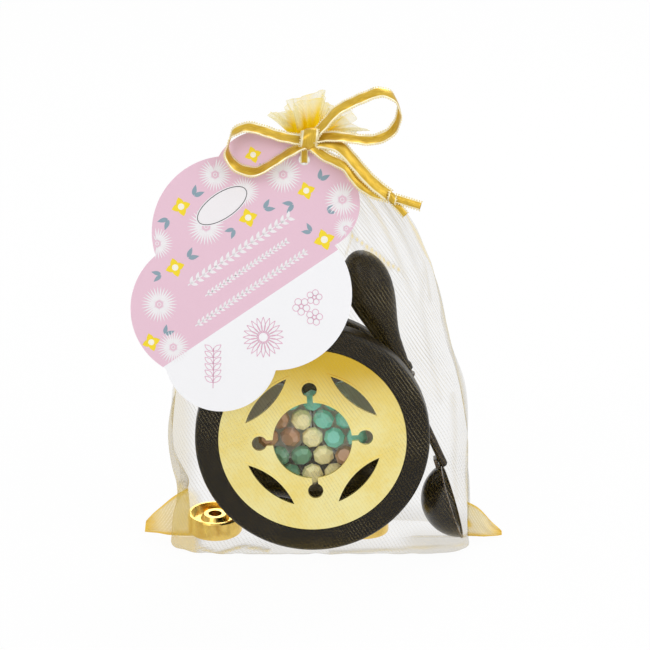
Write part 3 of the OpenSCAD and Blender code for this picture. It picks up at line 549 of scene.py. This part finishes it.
def bag_panel(half, seed):
    rows = bag_rows()
    grid = np.zeros((len(rows), panel_columns, 3))
    wide = np.zeros((len(rows), panel_columns))
    share = np.linspace(0, 1, panel_columns)
    for i, (z, inset) in enumerate(rows):
        x, y, length = bag_section(z, inset, half)
        at = share * length[-1]
        grid[i, :, 0] = np.interp(at, length, x)
        grid[i, :, 1] = np.interp(at, length, y) + (-0.15 if half == "front" else 0.15)
        grid[i, :, 2] = z
        wide[i] = at - length[-1] / 2
    tall = np.concatenate([[0], np.cumsum(np.hypot(np.diff(grid[:, 95, 2]), np.diff(grid[:, 95, 1])))])
    du = np.gradient(grid, axis=1)
    dv = np.gradient(grid, axis=0)
    normal = np.cross(du, dv)
    normal /= np.maximum(np.linalg.norm(normal, axis=2, keepdims=True), 1e-9)
    if half == "back":
        normal = -normal
    side = share[None, :] * np.ones((len(rows), 1))
    z = grid[:, :, 2]
    pick = np.random.default_rng(seed)
    push = np.zeros_like(z)
    fold = np.zeros_like(z)
    # long folds that fan out from the neck
    for k in range(15):
        mid = (k + pick.uniform(0.25, 0.75)) / 15
        end = pick.uniform(95, 150)
        body = np.clip((z - end) / (181 - end), 0, 1)
        width = 0.012 + 0.012 * pick.uniform() + 0.01 * body
        bend = mid + 0.02 * np.sin(z / 25 + pick.uniform(0, 6)) * (1 - body)
        ridge = np.exp(-((side - bend) / width) ** 2)
        push += (0.9 + 0.9 * pick.uniform()) * ridge * body ** 0.8
        fold += ridge ** 3 * body ** 1.2 * pick.uniform(0.25, 0.6)
    push -= 0.5 * np.clip((z - 100) / 81, 0, 1)
    slack = np.clip((z - 8) / 20, 0, 1) * (1 - 0.7 * np.clip((z - 150) / 30, 0, 1))
    near_side = np.clip(1 - np.minimum(side, 1 - side) / 0.2, 0, 1)
    push += ripple(side * 2, z / 70, seed + 5, 6, 0.6, 2.2) * slack * (0.35 + 1.3 * near_side)
    push += 0.22 * ripple(side * 7, z / 30, seed + 6, 7, 0.6, 2.4) * slack
    # the side seams
    seam = np.exp(-(np.minimum(side, 1 - side) * (wide[:, -1:] - wide[:, :1]) / 1.3) ** 2)
    fold = np.maximum(fold, 0.6 * seam)
    # the cloth bunches up a little along the floor
    low = np.clip(1 - z / 9, 0, 1) * (z > 0.05)
    push += low * 0.4 * (1 + ripple(side * 9, z / 8, seed + 9, 5, 0.7, 2.0))
    fold += low * 0.25
    if half == "front":
        px = middle_px + per_mm * grid[:, :, 0]
        py = foot_py - per_mm * (0.954 * z + 0.3007 * (grid[:, :, 1] + 29))
        ahead = np.clip((np.minimum(side, 1 - side) - 0.05) / 0.05, 0, 1)
        for way, thick, share_of_fold, height in creases:
            best = np.full_like(px, 1e9)
            for (x0, y0), (x1, y1) in zip(way[:-1], way[1:]):
                run = (x1 - x0) ** 2 + (y1 - y0) ** 2
                at = np.clip(((px - x0) * (x1 - x0) + (py - y0) * (y1 - y0)) / run, 0, 1)
                best = np.minimum(best, np.hypot(px - x0 - at * (x1 - x0), py - y0 - at * (y1 - y0)))
            ridge = ahead * np.exp(-(best / thick) ** 2)
            fold = np.maximum(fold, share_of_fold * ridge)
            push += height * np.exp(-(best / (thick + 2.2)) ** 2)
        # the slack cloth over the left corner and the left side; a painted shade on the lower right side and
        # the right part of the foot
        left = np.clip((203 - px) / 10, 0, 1) * np.clip((py - 492 + 0.5 * (203 - px)) / 8, 0, 1)
        fold = np.maximum(fold, 0.55 * left)
        fold = np.maximum(fold, 0.3 * np.clip((198 - px) / 14, 0, 1))
        fold = np.maximum(fold, 0.1 * np.clip((px - 448) / 16, 0, 1) * np.clip((py - 380) / 40, 0, 1))
        fold = np.maximum(fold, 0.2 * np.clip((py - 528) / 12, 0, 1) * np.clip((px - 395) / 20, 0, 1))
    # the left seam is drawn in above its corner
    pinch = 7.6 * np.exp(-((z - 26) / 9.5) ** 2) * np.clip(1 - side / 0.14, 0, 1) ** 1.4
    grid[:, :, 0] += pinch
    hold = np.minimum(1, np.minimum(side, 1 - side) / 0.012)
    top = np.clip((181 - z) / 6, 0, 1)
    grid += normal * (push * hold * (0.25 + 0.75 * top))[:, :, None]
    grid[:, :, 2] = np.maximum(grid[:, :, 2], 0.05)
    uv = np.stack([wide * mm, tall[:, None] * mm * np.ones_like(wide)], axis=2).reshape(-1, 2)
    return grid, uv, np.clip(fold, 0, 1)


def hang_panel(name, half, node, seed):
    grid, uv, fold = bag_panel(half, seed)
    faces = grid_faces(grid.shape[0], grid.shape[1])
    if half == "back":
        faces = [tuple(reversed(f)) for f in faces]
    piece = lay_mesh(name, grid.reshape(-1, 3) * mm, faces, sheer, True, uv, fold.ravel())
    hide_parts(node)
    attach(piece, "tied_bag")
    return piece


hang_panel("bag_front_cloth", "front", "bag_front", 11)
hang_panel("bag_back_cloth", "back", "bag_back", 23)


# Corners: where the side seam meets the foot, the empty corner of the bag stands out as an ear.
# It is both layers and the seam allowance, so it is nearly opaque and golden at its tip.
# It glows a little, a painted light that stands in for light coming through the cloth.
ear_cloth = organza("organza_ear", (0.9, 0.76, 0.36), (0.94, 0.84, 0.52), (0.9, 0.62, 0.08), 0.5, 0.62, 0.96,
                    0.08)


def ear(name, node, seam, foot, seed, deep=1.5):
    """A flap beside the bag: seam and foot are its upper and lower edge, as places across and up."""
    rows, columns = 26, 36
    pick = ripple(*np.meshgrid(np.linspace(0, 1.6, columns), np.linspace(0, 1.2, rows)), seed, 6, 0.6, 2.2)
    seam = smooth_path([(x, 0, z) for x, z in seam], columns - 1)
    foot = smooth_path([(x, 0, z) for x, z in foot], columns - 1)
    points, uv, fold = [], [], []
    for layer in (-1, 1):
        for i in range(rows):
            v = i / (rows - 1)
            for j in range(columns):
                u = j / (columns - 1)
                low, high = foot[j], seam[j]
                swell = (deep * (1 - u) ** 1.2 + 0.1) * math.sin(math.pi * v) ** 0.5 if 0 < v < 1 else 0.0
                y = -5.4 + layer * (swell + 0.02) + 0.7 * pick[i, j] * u
                at = low.lerp(high, v)
                points.append((at.x, y, max(at.z, 0.08)))
                uv.append((u * 0.02, v * 0.02 + layer * 0.03))
                fold.append(min(1, max(0.04 + 0.8 * u ** 3.5, 0.8 * math.exp(-((1 - v) / 0.07) ** 2),
                                       0.75 * math.exp(-(v / 0.1) ** 2),
                                       0.5 * max(0, pick[i, j]) ** 2 * math.exp(-((v - 0.5) / 0.3) ** 2))))
    outward = seam[-1].x > seam[0].x
    faces = []
    for layer in (0, 1):
        some = grid_faces(rows, columns, False, layer * rows * columns)
        faces += some if outward != (layer == 1) else [tuple(reversed(f)) for f in some]
    piece = lay_mesh(name, np.array(points) * mm, faces, ear_cloth, True, uv, fold)
    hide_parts(node)
    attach(piece, "tied_bag")
    return piece


def smooth_path(way, steps):
    """A smooth curve through the places given, in millimetres."""
    way = [Vector(p) for p in way]
    last = len(way) - 1
    line = []
    for k in range(steps + 1):
        at = k * last / steps
        i = min(int(at), last - 1)
        t = at - i
        a, b, c, d = way[max(i - 1, 0)], way[i], way[i + 1], way[min(i + 2, last)]
        line.append(0.5 * (2 * b + (c - a) * t + (2 * a - 5 * b + 4 * c - d) * t * t
                           + (3 * b - a - 3 * c + d) * t * t * t))
    return line


ear("bag_ear_left", "bag_corner_left", [(-56, 23), (-62, 19.5), (-69, 13.5), (-75, 7.6)],
    [(-54, 0.4), (-62, 0.6), (-69, 1.4), (-75.6, 2.2)], 31)
ear("bag_ear_right", "bag_corner_right", [(69.6, 16.6), (74.8, 13.6), (80.5, 7.5), (85.2, 2.8)],
    [(69.8, 0.3), (74.8, 0.2), (80, 0.2), (85.3, 0.6)], 37)


# Ruffle: the bag's open end above the tie, cut straight and left to spread in deep folds.
# It is densest and most golden where it leaves the tie, and pale along its edge.
# It glows a little, a painted light that stands in for light coming through the cloth.
ruffle_cloth = organza("organza_ruffle", (0.9, 0.83, 0.48), (0.94, 0.88, 0.6), (0.96, 0.71, 0.006),
                       0.4, 0.52, 0.98, 0.07)
rows, columns = 40, 1140
points, uv, fold = [], [], []
for i in range(rows):
    t = i / (rows - 1)
    opened = max(0, (t - 0.26) / 0.74)
    flare = opened ** 0.7
    for j in range(columns):
        a = j / columns * 2 * math.pi
        sway = a * 31 + 0.9 * math.sin(2 * a + 1) + 1.1 * math.sin(5 * a) + 0.7 * t * math.sin(3 * a)
        wave = math.sin(sway)
        lobe = math.sin(a * 9 + 0.8 * math.sin(2 * a) + 0.6)
        fine = 1 - 0.62 * flare
        wide = 4.2 * flare ** 1.3 * lobe
        rx = 3.6 + (18.8 - 3.6) * flare + 3.2 * fine * wave + wide
        ry = 3.6 + (7.2 - 3.6) * flare + 2.7 * fine * wave + 0.75 * wide
        skew = (0.35 + 0.9 * flare) * math.cos(sway + 0.4) * (1 - 0.4 * flare)
        skew += 2.6 * flare * math.cos(a * 9 + 1.1)
        top = 24 * t * (1 - flare * (0.42 * math.cos(a) ** 2 + 0.3 * max(0, math.cos(a))))
        top += 0.8 * flare * math.sin(7 * a + 1) - 0.3 * flare * wave + 0.8 * flare * lobe
        points.append((-1 + 3.4 * flare + rx * math.cos(a) - skew * math.sin(a),
                       -5 + 3.4 * flare + ry * math.sin(a) + skew * math.cos(a) * 0.6, 181.3 + top))
        uv.append((a * 0.054, t * 0.024))
        crease = max(0, -wave) ** 2 * 0.5 + max(0, -lobe) ** 1.5 * 0.6
        core = math.exp(-(opened / 0.36) ** 2)
        fold.append(min(1, core + 0.95 * crease * math.exp(-(opened / 0.62) ** 2)
                        + 0.22 * crease + 0.2 * max(0, (t - 0.965) / 0.035)))
ruffle = lay_mesh("bag_ruffle", np.array(points) * mm, grid_faces(rows, columns, True), ruffle_cloth,
                  True, uv, fold)
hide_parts("bag_frill")
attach(ruffle, "tied_bag")


# Ribbon: gold satin, 5.6 mm wide in its loops, woven with a picot of metal thread down both edges.
# It goes round the neck, is knotted into a bow, and its two tails meet in a small knot.
satin_gold = Finish("satin_ribbon", (0.78, 0.54, 0.06), 0.34, Metallic=0.5, Sheen_Weight=0.25,
                    Sheen_Roughness=0.35)
strip = satin_gold.node("UVMap", {"uv_map": "cloth"}, {})
weft = (satin_gold.axes(strip)[1] * 16000).sin() * 0.5 + 0.5
glint = satin_gold.noise(900, 3.0, 0.6, (3.0, 0.35, 1), strip)
band = satin_gold.noise(160, 2.0, 0.5, (1, 0.6, 1), strip)
hem = satin_gold.node("Attribute", {"attribute_name": "fold"}, {}, "Fac").step(0.66, 0.84)
# painted sheen: the satin's colour runs from dark to bright gold in streaks along the ribbon
sheen = (glint * 0.6 + band * 0.55).step(0.35, 0.85)
satin_gold.feed("Base Color", hem.tint(sheen.tint((0.5, 0.29, 0.008), (0.82, 0.56, 0.07)), (0.97, 0.9, 0.62)))
satin_gold.feed("Roughness", glint * 0.2 + 0.22 + hem * 0.05)
satin_gold.feed("Normal", satin_gold.bump(weft * 0.4 + glint * 0.6, 0.00006, 0.6))

picot_gold = Finish("picot_thread", (0.92, 0.82, 0.5), 0.25, Metallic=0.8)
twist = picot_gold.noise(4000, 2.0)
picot_gold.feed("Base Color", twist.tint((0.8, 0.62, 0.24), (0.96, 0.9, 0.68)))
picot_gold.feed("Roughness", twist * 0.3 + 0.15)


picot_tree = bpy.data.node_groups.new("picot_edging", "GeometryNodeTree")
picot_tree.interface.new_socket("Edge", in_out="INPUT", socket_type="NodeSocketGeometry")
picot_pitch = picot_tree.interface.new_socket("Pitch", in_out="INPUT", socket_type="NodeSocketFloat")
picot_size = picot_tree.interface.new_socket("Loop size", in_out="INPUT", socket_type="NodeSocketFloat")
picot_tree.interface.new_socket("Picots", in_out="OUTPUT", socket_type="NodeSocketGeometry")
steps_in = picot_tree.nodes.new("NodeGroupInput")
steps_out = picot_tree.nodes.new("NodeGroupOutput")
to_curve = picot_tree.nodes.new("GeometryNodeMeshToCurve")
spaced = picot_tree.nodes.new("GeometryNodeResampleCurve")
spaced.mode = "LENGTH"
loop_curve = picot_tree.nodes.new("GeometryNodeMeshIcoSphere")
loop_curve.inputs["Subdivisions"].default_value = 1
placed = picot_tree.nodes.new("GeometryNodeInstanceOnPoints")
solid = picot_tree.nodes.new("GeometryNodeRealizeInstances")
coloured = picot_tree.nodes.new("GeometryNodeSetMaterial")
coloured.inputs["Material"].default_value = picot_gold.material
for start, end in ((steps_in.outputs["Edge"], to_curve.inputs[0]),
                   (to_curve.outputs[0], spaced.inputs["Curve"]),
                   (steps_in.outputs["Pitch"], spaced.inputs["Length"]),
                   (spaced.outputs[0], placed.inputs["Points"]),
                   (steps_in.outputs["Loop size"], loop_curve.inputs["Radius"]),
                   (loop_curve.outputs["Mesh"], placed.inputs["Instance"]),
                   (placed.outputs[0], solid.inputs[0]), (solid.outputs[0], coloured.inputs["Geometry"]),
                   (coloured.outputs[0], steps_out.inputs[0])):
    picot_tree.links.new(start, end)


def picots(name, edges):
    """Small loops of metal thread down each edge of a ribbon."""
    points, wires = [], []
    for line in edges:
        first = len(points)
        points += [tuple(p * mm) for p in line]
        wires += [(first + k, first + k + 1) for k in range(len(line) - 1)]
    mesh = bpy.data.meshes.new(name + "_edge")
    mesh.from_pydata(points, wires, [])
    guide = bpy.data.objects.new(name + "_edge", mesh)
    scene.collection.objects.link(guide)
    made = guide.modifiers.new("picots", "NODES")
    made.node_group = picot_tree
    made[picot_pitch.identifier] = 0.00115
    made[picot_size.identifier] = 0.00042
    bpy.context.view_layer.update()
    ready = guide.evaluated_get(bpy.context.evaluated_depsgraph_get())
    plain = bpy.data.meshes.new_from_object(ready)
    plain.name = name
    bpy.data.objects.remove(guide)
    piece = bpy.data.objects.new(name, plain)
    scene.collection.objects.link(piece)
    return piece


def sweep_ribbon(name, node, way, across, steps, width=5.6, cup=0.5, crinkle=0.18, edged=True):
    """A strip of satin along a way, cupped over its width, held as near as it can be to one direction."""
    line = smooth_path(way, steps)
    last = len(line) - 1
    lanes = 9
    points, uv, fold = [], [], []
    edges = ([], [])
    walked = 0.0
    aside = [Vector(a) for a in across] if isinstance(across[0], tuple) else [Vector(across)] * 2
    for i, p in enumerate(line):
        along = (line[min(i + 1, last)] - line[max(i - 1, 0)]).normalized()
        hand = aside[0].lerp(aside[1], i / last)
        side = (hand - hand.dot(along) * along).normalized()
        up = along.cross(side)
        if i:
            walked += (p - line[i - 1]).length
        for k in range(lanes):
            s = k / (lanes - 1) * 2 - 1
            wave = crinkle * math.sin(walked * 0.9 + 2.1 * s) * abs(s)
            q = p + side * (s * width / 2) + up * (cup * (0.45 - s * s) + wave)
            points.append(q)
            uv.append((s * width / 2 * mm, walked * mm))
            fold.append(abs(s))
            if k in (0, lanes - 1):
                edges[k > 0].append(q + side * (0.2 if s > 0 else -0.2))
    face_up = grid_faces(len(line), lanes)
    piece = lay_mesh(name, [tuple(p * mm) for p in points], face_up, satin_gold, True, uv, fold)
    thick = piece.modifiers.new("thickness", "SOLIDIFY")
    thick.thickness = 0.00025
    thick.offset = 0
    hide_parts(node)
    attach(piece, "tied_bag")
    if edged:
        edging = picots(name + "_picot", edges)
        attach(edging, "tied_bag")


knot = Vector((-1.6, -15.5, 189.8))


def from_place(start, way):
    return [start + Vector(q) for q in way]


wrap_way = [(-1 + 7.7 * math.cos(a), -5 + 7.7 * math.sin(a), 184.8 + 0.5 * math.sin(a))
            for a in np.linspace(-math.pi / 2, 1.5 * math.pi, 25)]
sweep_ribbon("ribbon_wrap_satin", "ribbon_wrap", wrap_way, (0, 0, 1), 60, 6.5, 0.25, 0.25)

left_loop = [(-2.2, -0.4, -0.8), (-8, -0.8, 0.2), (-14.3, -1.8, 2), (-21.7, -2.4, 4.7), (-27.7, -2.8, 5.9),
             (-33.3, -3.2, 3.4), (-35.6, -3.6, -1.8), (-35.6, -4.2, -6.9), (-31.4, -4.6, -12),
             (-24, -4.6, -13.9),
             (-17.4, -4.2, -10.8), (-10, -3, -6.2), (-2.4, -1.4, -2.4)]
sweep_ribbon("bow_left_satin", "bow_loop_left", from_place(knot, left_loop), (0.25, 0.8, 0.55), 90)
right_loop = [(2.2, -0.6, 1.8), (5.8, -1.1, 5.8), (11.9, -1.6, 12.9), (18, -1.8, 16.7), (25.3, -1.6, 20),
              (31.4, -1.2, 21.9), (36.9, -0.6, 20), (39.9, 0, 14.8), (39.9, 0.2, 9.1), (36.9, 0, 3.3),
              (31.4, -0.6, 0.2), (25.3, -1.2, -0.5), (16.8, -1.8, 0.8), (10.1, -1.6, 1.4), (2.4, -0.9, 0.6)]
sweep_ribbon("bow_right_satin", "bow_loop_right", from_place(knot, right_loop), (-0.25, 0.8, 0.55), 100)
upper_tail = [(2.4, -0.8, -1.2), (8, -1.6, -1.4), (13.1, -2.8, -2.6), (16.8, -3.6, -5.6), (22.3, -4.6, -12),
              (28.4, -5.6, -18.6), (35.6, -6.4, -24.4)]
sweep_ribbon("tail_upper_satin", "ribbon_tail_upper", from_place(knot, upper_tail), (0.3, 0.6, 0.75), 50,
             6.0, 0.7)
lower_tail = [(1.6, -1.8, -3), (7, -4.2, -6.8), (11.9, -5, -9), (16.6, -5.6, -11.6), (19.8, -6, -16),
              (23.5, -6.4, -20), (29.4, -6.6, -23.6), (35.4, -6.6, -25.2)]
sweep_ribbon("tail_lower_satin", "ribbon_tail_lower", from_place(knot, lower_tail), (0.35, 0.6, 0.72), 54,
             4.4, 0.7)
knot_way = [(0.2 + 0.5 * math.sin(a), 3.1 * math.cos(a) - 0.6, 4.4 * math.sin(a))
            for a in np.linspace(0.3, 6.5, 22)]
sweep_ribbon("bow_knot_satin", "bow_knot", from_place(knot, knot_way), (1, 0, 0.2), 44, 7.6, 1.1, 0.35)
meet = knot + Vector((36.9, -6.6, -25.6))
small_way = [(0.3 * math.sin(a), 1.7 * math.cos(a), 2.1 * math.sin(a)) for a in np.linspace(0.2, 6.3, 14)]
sweep_ribbon("tail_knot_satin", "tail_knot", from_place(meet, small_way), (0.8, 0, -0.6), 26, 3.6, 0.5)
end_way = [(0.6, 0, -0.1), (2.4, 0, -0.4), (6.4, 0.4, -1.8), (12.8, 1, -4)]
sweep_ribbon("ribbon_end_upper", "ribbon_ends", from_place(meet, end_way), (0.2, 0.4, 0.9), 16, 3.8, 0.4)
end_way = [(0.2, 0, -0.6), (1.4, 0, -2.6), (3.6, 0.2, -5), (6, 0.4, -8)]
sweep_ribbon("ribbon_end_lower", "ribbon_ends", from_place(meet, end_way), (0.9, 0.3, 0.3), 14, 3.0, 0.4)

tag_hole = Vector((-3.6, -14.7, 179.8))
tag_lean = math.radians(12)
tag_up = Vector((0, math.sin(tag_lean), math.cos(tag_lean)))
tag_out = Vector((0, -math.cos(tag_lean), math.sin(tag_lean)))
strap_way = [tag_hole + tag_out * 1.0 + tag_up * q for q in (-1.6, 0.5, 2.5, 4.5, 6.6)]
strap_way = [tag_hole - tag_out * 1.2 - tag_up * 0.6, tag_hole + tag_out * 0.3 - tag_up * 1.4] + strap_way[1:]
sweep_ribbon("tag_strap", "tag_tie", strap_way, (1, 0, 0), 20, 3.4, 0.3, edged=False)


# Tag: stout card, die-cut in round lobes, hung on the bow. Its upper part is printed pink
# with flowers and leaves, and its foot is white with three outlines. It carries no words.
card = Finish("card", (0.93, 0.92, 0.93), 0.55, Specular_IOR_Level=0.4)
cx, _, cz = card.axes()
side_x = cx * 1000 - tag_hole.x
side_up = (cz * 1000 - tag_hole.z) / math.cos(tag_lean)
border = side_up - (side_x * 0.674 - 50.1)
fibre = card.noise(1700, 4.0)
facing = card.node("NewGeometry", {}, {}, "Normal")
to_the_front = (card.axes(facing)[1] * -1.0).step(0.5, 0.6)
printed = border.step(-0.06, 0.06) * to_the_front
card.feed("Base Color", printed.tint(fibre.tint((0.93, 0.93, 0.955), (0.97, 0.97, 0.985)),
                                     fibre.tint((0.82, 0.55, 0.665), (0.855, 0.595, 0.7))))
card.feed("Roughness", fibre * 0.2 + 0.45)
card.feed("Normal", card.bump(fibre, 0.00004, 0.5))
dress(card, "tag_card")


def ink(name, colour):
    made = Finish(name, colour, 0.6)
    mottle = made.noise(2200, 3.0)
    made.feed("Base Color", mottle.tint(tuple(v * 0.93 for v in colour),
                                        tuple(min(1, v * 1.03) for v in colour)))
    made.feed("Roughness", mottle * 0.2 + 0.48)
    return made


white_ink = ink("white_ink", (0.93, 0.9, 0.92))
yellow_ink = ink("yellow_ink", (0.98, 0.74, 0.02))
pale_ink = ink("pale_yellow_ink", (0.97, 0.94, 0.8))
leaf_ink = ink("leaf_ink", (0.27, 0.38, 0.45))
pink_ink = ink("pink_ink", (0.8, 0.45, 0.6))
dark_ink = ink("dark_ink", (0.06, 0.06, 0.07))


class Print:
    """Flat shapes of one ink, laid on the card's face in millimetres from its hole."""

    def __init__(self, name, finish, lift):
        self.name, self.finish, self.lift = name, finish, lift
        self.points, self.faces = [], []

    def shape(self, outline, centre=None):
        first = len(self.points)
        self.points += outline
        if centre is None:
            self.faces.append(tuple(range(first, first + len(outline))))
        else:
            self.points.append(centre)
            n = len(outline)
            self.faces += [(first + n, first + k, first + (k + 1) % n) for k in range(n)]

    def petal(self, x, y, turn, start, length, width, steps=7):
        c, s = math.cos(turn), math.sin(turn)
        edge = []
        for k in range(steps + 1):
            t = k / steps
            edge.append((start + length * t, width / 2 * math.sin(math.pi * t ** 0.75)))
        for k in range(steps - 1, 0, -1):
            t = k / steps
            edge.append((start + length * t, -width / 2 * math.sin(math.pi * t ** 0.75)))
        self.shape([(x + a * c - b * s, y + a * s + b * c) for a, b in edge])

    def line(self, way, width):
        left, right = [], []
        for k, (x, y) in enumerate(way):
            x0, y0 = way[max(k - 1, 0)]
            x1, y1 = way[min(k + 1, len(way) - 1)]
            n = math.hypot(x1 - x0, y1 - y0) or 1
            dx, dy = (y1 - y0) / n * width / 2, -(x1 - x0) / n * width / 2
            left.append((x - dx, y - dy))
            right.append((x + dx, y + dy))
        for k in range(len(way) - 1):
            self.shape([left[k], right[k], right[k + 1], left[k + 1]])

    def disc(self, x, y, r, n=20):
        turns = [k / n * 2 * math.pi for k in range(n)]
        self.shape([(x + r * math.cos(a), y + r * math.sin(a)) for a in turns], (x, y))

    def ring(self, x, y, rx, ry, width, turn=0.0, n=40):
        c, s = math.cos(turn), math.sin(turn)
        way = [(x + rx * math.cos(a) * c - ry * math.sin(a) * s,
                y + rx * math.cos(a) * s + ry * math.sin(a) * c)
               for a in np.linspace(0, 2 * math.pi, n + 1)]
        self.line(way, width)

    def lay(self):
        height = 0.3 + self.lift
        places = [(tag_hole + Vector((x, 0, 0)) + tag_up * y + tag_out * height) * mm for x, y in self.points]
        piece = lay_mesh(self.name, places, self.faces, self.finish, False)
        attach(piece, "tag")
        return piece


lobes = [(-33.9, -32.1, 33.8), (-46.4, -66.4, 30.8), (-37, -87, 25.3), (-13, -59.7, 34.2), (3.8, -19.6, 20.9),
         (-18.8, -8.9, 21.8)]


def on_card(x, y, edge=0.4):
    return any(math.hypot(x - a, y - b) < r - edge for a, b, r in lobes)


white_print = Print("print_white", white_ink, 0.03)
white_print_over = Print("print_white_over", white_ink, 0.036)
yellow_print = Print("print_yellow", yellow_ink, 0.05)
yellow_print_over = Print("print_yellow_over", yellow_ink, 0.06)
pale_print = Print("print_pale", pale_ink, 0.08)
leaf_print = Print("print_leaves", leaf_ink, 0.02)
pink_print = Print("print_pink", pink_ink, 0.04)
dark_print = Print("print_oval_line", dark_ink, 0.06)


def daisy(x, y, r, petals=30, layer=white_print, start=0.2, fill=0.85):
    for row, (share, shift) in enumerate(((1.0, 0.0), (0.6, 0.5))):
        count = petals if row == 0 else petals - 6
        layer = (white_print, white_print_over)[row] if layer in (white_print, white_print_over) else layer
        for k in range(count):
            turn = (k + shift) / count * 2 * math.pi
            far = r * share
            if on_card(x + far * math.cos(turn), y + far * math.sin(turn), 0.2):
                layer.petal(x, y, turn, r * start, far - r * start, 2 * math.pi * far / count * fill * 0.52)
    white_print.ring(x, y, r * 0.1, r * 0.1, 0.3, 0, 14)


def small_bloom(x, y, r):
    for k in range(4):
        turn = k / 4 * 2 * math.pi + 0.3
        layer = yellow_print if k % 2 else yellow_print_over
        layer.petal(x, y, turn, r * (0.05 + 0.01 * k), r * 1.15, r * 0.92, 9)
    pale_print.disc(x, y, r * 0.4, 14)


def leaf_pair(x, y, turn, size):
    if not on_card(x + size * 1.1 * math.cos(turn), y + size * 1.1 * math.sin(turn), 1.2):
        return
    for swing in (-0.5, 0.45):
        leaf_print.petal(x, y, turn + swing, 0.5, size, size * 0.42)


hole_px, hole_py = 303, 153


def on_tag(px, py):
    """A place on the card, from where it is seen."""
    return (px - hole_px) / per_mm, -(py - hole_py) / per_mm


for px, py, r in ((282, 168, 8.4), (243, 185, 7.0), (214, 168, 7.6), (205, 220, 8.6), (156, 237, 7.2),
                  (158, 298, 8.2), (341, 193, 8.2), (172, 341, 7.4), (345, 222, 6.0)):
    daisy(*on_tag(px, py), r)
for px, py, r in ((305, 184, 3.4), (247, 211, 3.6), (180, 200, 3.6), (174, 261, 3.6), (323, 233, 4.0),
                  (150, 336, 3.4), (252, 148, 3.2)):
    small_bloom(*on_tag(px, py), r)
for px, py, turn, size in ((318, 174, 1.0, 5), (293, 197, 3.6, 5), (262, 203, 0.6, 5), (234, 222, 3.9, 4.5),
                           (192, 190, 0.9, 5), (168, 212, 3.9, 5), (186, 252, 0.7, 5), (161, 268, 3.4, 4.5),
                           (334, 243, 5.6, 5), (311, 226, 2.6, 4.5), (140, 327, 2.3, 4.5),
                           (163, 329, 0.9, 4.5), (262, 166, 2.4, 4), (325, 205, 0.4, 4)):
    leaf_pair(*on_tag(px, py), turn, size)
# an empty oval with a thin dark line, tilted with the border
ox, oy = on_tag(221, 199)
oval = [(ox + 13.4 * math.cos(a) * math.cos(0.6) - 6.2 * math.sin(a) * math.sin(0.6),
         oy + 13.4 * math.cos(a) * math.sin(0.6) + 6.2 * math.sin(a) * math.cos(0.6))
        for a in np.linspace(0, 2 * math.pi, 48, endpoint=False)]
blank_print = Print("print_oval", white_ink, 0.045)
blank_print.shape(oval, (ox, oy))
dark_print.ring(ox, oy, 12.7, 5.6, 0.35, 0.6)
# three plain sprays of leaves in white, one under another, where the card has its middle
for px, py, span, size in ((237, 245, 27, 3.6), (245, 262, 22, 2.3), (250, 282, 30, 2.6)):
    mx, my = on_tag(px, py)
    c, s_ = math.cos(0.594), math.sin(0.594)
    way = [(mx + q * c, my + q * s_) for q in np.linspace(-span, span, 12)]
    white_print.line(way, 0.5)
    for k, q in enumerate(np.arange(-span + 1.5, span, size * 0.9)):
        for swing in (0.75, -0.75):
            white_print.petal(mx + q * c, my + q * s_, 0.594 + swing, 0.0, size, size * 0.42)
# three outlines in pink on the white foot
sx, sy = on_tag(215, 362)
pink_print.line([(sx - 1.5 + 0.3 * math.sin(q * 2), sy - 9 + q * 18) for q in np.linspace(0, 1, 12)], 0.35)
for q in np.linspace(-6.5, 7.5, 6):
    for way in (1, -1):
        turn = math.pi / 2 - way * 0.9
        c, s_ = math.cos(turn), math.sin(turn)
        edge = [(4.6 * t, 1.0 * math.sin(math.pi * t)) for t in np.linspace(0, 1, 8)]
        edge += [(4.6 * t, -1.0 * math.sin(math.pi * t)) for t in np.linspace(1, 0, 8)]
        pink_print.line([(sx - 1.5 + a * c - b * s_, sy + q + a * s_ + b * c) for a, b in edge], 0.3)
dx, dy = on_tag(262, 331)
for k in range(20):
    c, s_ = math.cos(k / 20 * 2 * math.pi), math.sin(k / 20 * 2 * math.pi)
    edge = [(2.4 + 6.6 * t, 0.95 * math.sin(math.pi * t ** 0.8)) for t in np.linspace(0, 1, 8)]
    edge += [(2.4 + 6.6 * t, -0.95 * math.sin(math.pi * t ** 0.8)) for t in np.linspace(1, 0, 8)]
    pink_print.line([(dx + a * c - b * s_, dy + a * s_ + b * c) for a, b in edge], 0.3)
pink_print.ring(dx, dy, 2.2, 2.2, 0.35, 0, 20)
for px, py, r in ((300, 300, 3.4), (313, 291, 3.0), (313, 311, 3.2)):
    bx, by = on_tag(px, py)
    for k in range(5):
        turn = k / 5 * 2 * math.pi + px
        pink_print.ring(bx + r * 0.72 * math.cos(turn), by + r * 0.72 * math.sin(turn),
                        r * 0.44, r * 0.44, 0.3, 0, 16)
    pink_print.ring(bx, by, r * 0.26, r * 0.26, 0.3, 0, 12)
for layer in (leaf_print, white_print, white_print_over, blank_print, pink_print, yellow_print,
              yellow_print_over, dark_print, pale_print):
    layer.lay()
